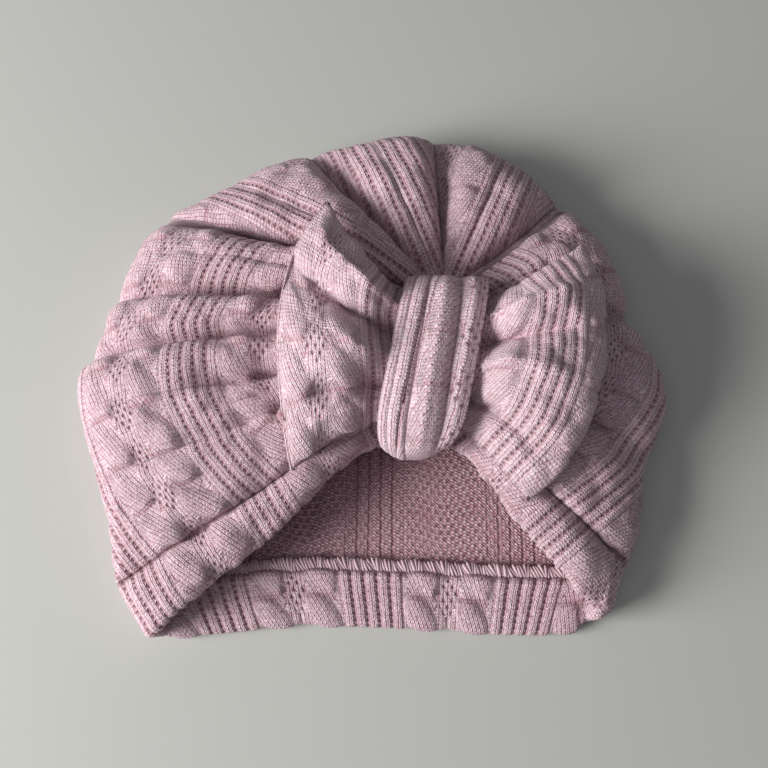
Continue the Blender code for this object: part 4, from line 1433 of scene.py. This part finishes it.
def bow_grid(side):
    """One half of the bow, with its wales counted outward from the knot."""
    across, turn = np.linspace(0.0, 1.0, BOW_LINES + 1), np.linspace(0.0, 1.0, BOW_STATIONS + 1)
    across, turn = np.meshgrid(across, turn, indexing="ij")
    level = 2.0 * turn - 1.0
    reach = 1.0 - np.abs(level) ** BOW_CROWDING
    plan = bow_plan(side, across, reach)
    base, top = bow_layers(side, across, plan, reach)
    from_edge = np.minimum(across, 1.0 - across)
    edge = BOW_EDGE_CLOSE + (1.0 - BOW_EDGE_CLOSE) * round_off(from_edge / BOW_EDGE_WIDTH)
    free = ramp(reach, *LOOP_OPENS)
    closing = round_off((1.0 - reach) / BOW_END_ROUND) * (1.0 - free + free * edge)
    above = np.where(level > 0, bow_fold_depth(side, across, reach), 0.0)
    above = above - np.where(level > 0, ripples(plan * BOW_RIPPLE_SCALE) * free, 0.0)
    room = np.maximum(BOW_FOLD_ROOM * (top - base) * closing, 1e-4)
    above = np.where(above > 0, room * (1.0 - np.exp(-above / room)), above)
    height = (base + top) / 2 + np.sign(level) * (top - base) / 2 * closing
    height = height - np.where(above > 0, above, above * closing)
    points = np.concatenate([plan, height[..., None]], axis=-1)
    end = plan[:, BOW_STATIONS // 2 : BOW_STATIONS // 2 + 1]
    from_end = BOW_FOLD_RUN * np.linalg.norm(plan - end, axis=-1)
    from_end = from_end + BOW_FOLD_TURN * round_off((1.0 - reach) / BOW_TURN_SHARE)
    far = BOW_LEFT_REACH if side == "left" else BOW_RIGHT_REACH
    wale = (far - from_end - BOW_WALE_AT[side]) / WALE
    rise = np.linalg.norm(np.diff(points[:, BOW_STATIONS * 3 // 4], axis=0), axis=-1)
    rise = np.concatenate([[0.0], np.cumsum(rise)])
    course = np.repeat(rise[:, None], points.shape[1], axis=1) / COURSE
    relief = BOW_RELIEF * ramp(reach, *RELIEF_BEGINS)
    return grid_of(points, wale, course, relief)


# %% Make the bow
# The bow's colours are a lighter copy of the crown's knit: painted light on the raised bow.
BOW_LIGHT, BOW_DEEP = (0.99, 0.83, 0.91), (0.52, 0.25, 0.31)
bow_knit = knit_material("bow_knit", BOW_LIGHT, BOW_DEEP)
bow_purl = knit_material("bow_purl", PURL_LIGHT, PURL_DEEP, wrong_side=True)
bow = cloth_object("bow_cloth", [bow_grid("left"), bow_grid("right")], [bow_knit, bow_purl])
thicken(bow, BOW_CLOTH)
thin_out_inside(bow, BOW_MOST_TRIANGLES)
print("bow:", triangles(bow), "triangles")

# %% [markdown]
# ## The wrap
#
# A pleated strip holds the waist of the bow and goes down round the edge of the hem. Its
# wales run along it, so ribs, a plain leaf and open work lie side by side across it. A bent
# tube would be too round for it. So its path is a squared oval seen from the side, and its
# pleats are creases that run the whole way along.

# %% The wrap
KNOT_CLOTH, KNOT_SIDE_DROP, KNOT_SQUARENESS = 0.0028, 0.0026, 3.0
KNOT_START, KNOT_END = 243.0, -6.0
KNOT_UPPER_REACH, KNOT_LOWER_REACH, KNOT_UNDER = 0.0272, 0.0340, 0.0052
KNOT_TUCK_SHARE, KNOT_SEAT, KNOT_LOWER_ROUND = 0.66, 0.0008, 0.0055
KNOT_LINES, KNOT_STATIONS = 72, 230
KNOT_FIRST_WALE, KNOT_WALES, KNOT_WALE_BEND, KNOT_RELIEF = 16.5, 20.5, 3.0, 0.8
KNOT_CURL_POWER, KNOT_ROUND_POWER, KNOT_EDGE_FADE = 2.2, 2.4, 0.06
# shares of the way over the waist where the pleats change and begin, where the wrap has its
# full width and where its lower end is no longer round
PLEAT_CHANGES, PLEAT_BEGINS = (0.3, 0.6), (0.25, 0.15)
WIDTH_BEGINS, ROUND_ENDS = (0.22, 0.30), (0.12, 0.34)
KNOT_END_FADE = 0.12

# place across at the top and at the lower end, depth there, width
KNOT_PLEATS = (
    (0.10, 0.12, 0.20, 0.30, 0.030),
    (0.30, 0.33, 0.85, 1.05, 0.065),
    (0.45, 0.60, -0.30, -0.40, 0.120),
    (0.61, 0.87, 1.50, 1.10, 0.070),
    (0.80, 0.97, -0.35, -0.10, 0.100),
)


# %% Shape of the wrap


def knot_path(turn, drop):
    """A point of the wrap's middle line, seen from the side."""
    low, _ = gather_ends()
    hem = 2.0 * CLOTH + HEM_FOLD_GAP
    under = float(upper_height(low[None])[0]) - hem - KNOT_UNDER - KNOT_CLOTH / 2
    over = waist_floor() + BOW_SEAT + BOW_WAIST_PUFF + KNOT_SEAT + KNOT_CLOTH / 2 + drop
    middle, half_rise = (over + under) / 2, (over - under) / 2
    start, end = math.radians(KNOT_START), math.radians(KNOT_END)
    angle = start + turn * (end - start)
    power = 2.0 / KNOT_SQUARENESS
    run = np.sign(np.cos(angle)) * np.abs(np.cos(angle)) ** power
    rise = np.sign(np.sin(angle)) * np.abs(np.sin(angle)) ** power
    reach = np.where(run > 0, KNOT_UPPER_REACH, KNOT_LOWER_REACH)
    return GATHER_Y + reach * run, middle + half_rise * rise


def knot_pleat_depth(across, turn):
    """How far the pleats press the wrap in."""
    depth = np.zeros(np.broadcast(across, turn).shape)
    for at_top, at_low, top_depth, low_depth, width in KNOT_PLEATS:
        place = at_low + (at_top - at_low) * turn
        along = low_depth + (top_depth - low_depth) * ramp(turn, *PLEAT_CHANGES)
        depth += along * crease((across - place) / width)
    return depth * KNOT_CLOTH * ramp(turn, *PLEAT_BEGINS)


def wrap_grid():
    """The wrap, across its width and along its way over the waist."""
    across, turn = np.linspace(0.0, 1.0, KNOT_LINES + 1), np.linspace(0.0, 1.0, KNOT_STATIONS + 1)
    across, turn = np.meshgrid(across, turn, indexing="ij")
    y, z = knot_path(turn, KNOT_SIDE_DROP)
    full = ramp(turn, *WIDTH_BEGINS) * ease((1.0 - turn) / KNOT_END_FADE)
    tuck = KNOT_TUCK_SHARE + (1.0 - KNOT_TUCK_SHARE) * full
    x = knot_axis(y) + (across - 0.5) * KNOT_WIDTH * tuck
    topside = ease((z - float(upper_height(gather_ends()[0][None])[0])) / BOW_WAIST_PUFF)
    from_middle = 2.0 * np.abs(across - 0.5)
    low = 1.0 - ramp(turn, *ROUND_ENDS)
    y = y + KNOT_LOWER_ROUND * from_middle**KNOT_ROUND_POWER * low
    curl = KNOT_SIDE_DROP * from_middle**KNOT_CURL_POWER * topside
    points = np.stack([x, y, z - curl - knot_pleat_depth(across, turn) * topside], axis=-1)
    bend = KNOT_WALE_BEND * np.sin(math.pi * across) * (1.0 - turn)
    wale = KNOT_FIRST_WALE + across * KNOT_WALES + bend
    middle = points[KNOT_LINES // 2]
    run = np.concatenate([[0.0], np.cumsum(np.linalg.norm(np.diff(middle, axis=0), axis=-1))])
    course = np.repeat(run[None] / COURSE, KNOT_LINES + 1, axis=0)
    fade = ease(across / KNOT_EDGE_FADE) * ease((1.0 - across) / KNOT_EDGE_FADE)
    points, knit, _, seam = grid_of(points, wale, course)
    ribs = rib_height(np.abs(panel_place(wale, course)[0]))
    return points, knit, ribs * fade * KNOT_RELIEF, seam


# %% Make the wrap
# The wrap's colours are lighter still: painted light on the raised knot.
KNOT_LIGHT, KNOT_DEEP = (0.99, 0.84, 0.915), (0.54, 0.265, 0.325)
knot_knit = knit_material("knot_knit", KNOT_LIGHT, KNOT_DEEP)
wrap = cloth_object("wrap_cloth", [wrap_grid()], [knot_knit, bow_purl])
thicken(wrap, KNOT_CLOTH, offset=0.0)
print("wrap:", triangles(wrap), "triangles")

# %% [markdown]
# ## The overlock stitch
#
# The raw edge of the turned-in cloth is bound with thread. Modelled by hand, its hundreds of
# loops would have to be placed one by one. So Geometry Nodes set one small loop of thread
# after another along a path, round a core that stands for the edge inside it. Each loop has
# only a few dozen faces.

# %% The path of the stitches
OVERLOCK_THICKNESS, OVERLOCK_WIDTH, OVERLOCK_SEAT = 0.0028, 0.0050, 0.0009
OVERLOCK_GRIP = 0.0014
STITCH_PITCH, THREAD, SEED = 0.00108, 0.00056, 7
STITCH_LEAN, LEAST_STITCH, MOST_STITCH = 0.38, (0.80, 0.86, 0.80), (1.12, 1.06, 1.20)
RING_SIDES, THREAD_SIDES, CORE_SIDES, CORE_SHARE = 12, 4, 10, 0.40
# height and waves round the opening of the two ways that the raw edge wavers
EDGE_WAVES = ((0.00035, 190.0, 0.0), (0.0002, 431.0, 1.0))


def overlock_path():
    """Places along the raw edge, and the way out of the cloth at each."""
    inward = hem_points[:, -1] - hem_points[:, -2]
    inward = inward / np.linalg.norm(inward, axis=-1, keepdims=True)
    run = np.linspace(0.0, 1.0, len(hem_points))[:, None]
    wave = sum(rise * np.sin(run * turns + shift) for rise, turns, shift in EDGE_WAVES)
    out = OVERLOCK_SEAT + OVERLOCK_WIDTH / 2 - OVERLOCK_GRIP
    path = hem_points[:, -1] + inward * (out + wave)
    drop = CLOTH + OVERLOCK_SEAT + OVERLOCK_THICKNESS / 2
    return path - hem_normals[:, -1] * drop, -hem_normals[:, -1]


def path_object(name, path, up):
    """A closed line of edges that knows which way is out of the cloth."""
    mesh = bpy.data.meshes.new(name)
    count = len(path)
    edges = [(number, (number + 1) % count) for number in range(count)]
    mesh.from_pydata(path.tolist(), edges, [])
    attribute = mesh.attributes.new("up", "FLOAT_VECTOR", "POINT")
    attribute.data.foreach_set("vector", up.reshape(-1))
    obj = bpy.data.objects.new(name, mesh)
    bpy.context.scene.collection.objects.link(obj)
    return obj


# %% The tree that sets the stitches
STITCH_SIZES = (
    ("Pitch", STITCH_PITCH),
    ("Width", OVERLOCK_WIDTH),
    ("Height", OVERLOCK_THICKNESS),
    ("Thread", THREAD),
)


def stitch_tree(material):
    """Path in; slanted loops of thread round a core out."""
    tree = bpy.data.node_groups.new("overlock_stitches", "GeometryNodeTree")
    face, sizes = tree.interface, {}
    face.new_socket("Path", in_out="INPUT", socket_type="NodeSocketGeometry")
    for name, value in STITCH_SIZES:
        socket = face.new_socket(name, in_out="INPUT", socket_type="NodeSocketFloat")
        socket.default_value = value
        sizes[name] = socket.identifier
    face.new_socket("Stitches", in_out="OUTPUT", socket_type="NodeSocketGeometry")
    nodes, links = tree.nodes, tree.links
    source, result = nodes.new("NodeGroupInput"), nodes.new("NodeGroupOutput")
    given = source.outputs

    def node(kind, settings=None, **inputs):
        made = nodes.new(kind)
        for key, value in (settings or {}).items():
            setattr(made, key, value)
        for key, value in inputs.items():
            socket = made.inputs[key.replace("_", " ")]
            if isinstance(value, bpy.types.NodeSocket):
                links.new(value, socket)
            else:
                socket.default_value = value
        return made

    def circle(count, radius):
        made = node("GeometryNodeCurvePrimitiveCircle", {"mode": "RADIUS"}, Resolution=count)
        if isinstance(radius, bpy.types.NodeSocket):
            links.new(radius, made.inputs["Radius"])
        else:
            made.inputs["Radius"].default_value = radius
        return made.outputs["Curve"]

    flat = node("ShaderNodeCombineXYZ", X=given["Height"], Y=given["Width"])
    flat.inputs["Z"].default_value = 1.0
    ring_line = circle(RING_SIDES, 0.5)
    oval = node("GeometryNodeTransform", Geometry=ring_line, Scale=flat.outputs[0])
    thread = circle(THREAD_SIDES, given["Thread"])
    ring = node("GeometryNodeCurveToMesh", Curve=oval.outputs[0], Profile_Curve=thread)
    line = node("GeometryNodeMeshToCurve", Mesh=given["Path"])
    dots = node("GeometryNodeResampleCurve", {"mode": "LENGTH"}, Curve=line.outputs["Curve"])
    links.new(given["Pitch"], dots.inputs["Length"])
    tangent = node("GeometryNodeInputTangent")
    up = node("GeometryNodeInputNamedAttribute", {"data_type": "FLOAT_VECTOR"}, Name="up")
    turn = "FunctionNodeAlignRotationToVector"
    along = node(turn, {"axis": "Z"}, Vector=tangent.outputs["Tangent"])
    settings = {"axis": "X", "pivot_axis": "Z"}
    upright = node(turn, settings, Rotation=along.outputs[0], Vector=up.outputs["Attribute"])
    leaning = {"rotation_space": "LOCAL"}
    lean = node("FunctionNodeRotateRotation", leaning, Rotation=upright.outputs[0])
    lean.inputs["Rotate By"].default_value = (STITCH_LEAN, 0.0, 0.0)
    uneven = node("FunctionNodeRandomValue", {"data_type": "FLOAT_VECTOR"}, Seed=SEED)
    uneven.inputs["Min"].default_value = LEAST_STITCH
    uneven.inputs["Max"].default_value = MOST_STITCH
    rings = node("GeometryNodeInstanceOnPoints", Points=dots.outputs["Curve"])
    links.new(uneven.outputs[0], rings.inputs["Scale"])
    links.new(ring.outputs["Mesh"], rings.inputs["Instance"])
    links.new(lean.outputs[0], rings.inputs["Rotation"])
    slim = node("ShaderNodeMath", {"operation": "MULTIPLY"})
    links.new(given["Height"], slim.inputs[0])
    slim.inputs[1].default_value = CORE_SHARE
    core = node("GeometryNodeCurveToMesh", Curve=line.outputs["Curve"])
    links.new(circle(CORE_SIDES, slim.outputs[0]), core.inputs["Profile Curve"])
    both = node("GeometryNodeJoinGeometry")
    links.new(core.outputs["Mesh"], both.inputs["Geometry"])
    links.new(rings.outputs["Instances"], both.inputs["Geometry"])
    real = node("GeometryNodeRealizeInstances", Geometry=both.outputs["Geometry"])
    smooth = node("GeometryNodeSetShadeSmooth", Geometry=real.outputs["Geometry"])
    dyed = node("GeometryNodeSetMaterial", Geometry=smooth.outputs["Geometry"], Material=material)
    links.new(dyed.outputs["Geometry"], result.inputs["Stitches"])
    return tree, sizes


# %% Finish of the thread
THREAD_LIGHT, THREAD_DEEP = (0.94, 0.75, 0.82, 1.0), (0.44, 0.23, 0.28, 1.0)
THREAD_FINISH = {"Roughness": 0.9, "Specular IOR Level": 0.2, "Sheen Weight": 0.3}
THREAD_BUMP, THREAD_BUMP_DISTANCE = 0.7, 0.0002
THREAD_FUZZ_SCALE, THREAD_FUZZ_SHARE = 2200.0, 0.8
THREAD_PATCH_SCALE, THREAD_PATCH_SHARE, THREAD_TONE_SHIFT = 150.0, 0.4, 0.1


def thread_material():
    """Pink sewing thread, a little uneven in tone."""
    graph = Graph("overlock_thread")
    place = graph.node("ShaderNodeTexCoord").outputs["Object"]
    fuzz = graph.noise(place, THREAD_FUZZ_SCALE, 3.0)
    patch = graph.noise(place, THREAD_PATCH_SCALE, 2.0)
    tone = fuzz * THREAD_FUZZ_SHARE + patch * THREAD_PATCH_SHARE - THREAD_TONE_SHIFT
    tone = tone.clipped()
    colour = graph.mix(tone, THREAD_DEEP, THREAD_LIGHT)
    bump = (THREAD_BUMP, THREAD_BUMP_DISTANCE)
    return finish_material(graph, colour, fuzz, *bump, THREAD_FINISH)


# %% Make the overlock
path, up = overlock_path()
round_edge = np.linalg.norm(np.roll(path, -1, axis=0) - path, axis=-1).sum()
print("the overlock is", round(float(round_edge) * 1000), "mm long")
overlock = path_object("overlock_stitches", path, up)
overlock_thread = thread_material()
tree, sizes = stitch_tree(overlock_thread)
stitching = overlock.modifiers.new("stitching", "NODES")
stitching.node_group = tree
for name, value in STITCH_SIZES:
    stitching[sizes[name]] = value
plain_mesh(overlock)
print("overlock:", triangles(overlock), "triangles")

# %% [markdown]
# ## Tie the cloth to the frame
#
# Each piece replaces its plain solid. Cloth has no joints, so all of it rides the root.

# %% Tie the pieces to the frame
PIECES = (
    (crown, "crown", "crown_knit"),
    (overlock, "hem_overlock", "overlock_thread"),
    (bow, "bow", "bow_knit"),
    (wrap, "knot_wrap", "knot_knit"),
)
for piece, node_name, slot_name in PIECES:
    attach(piece, "root")
    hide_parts(node_name)
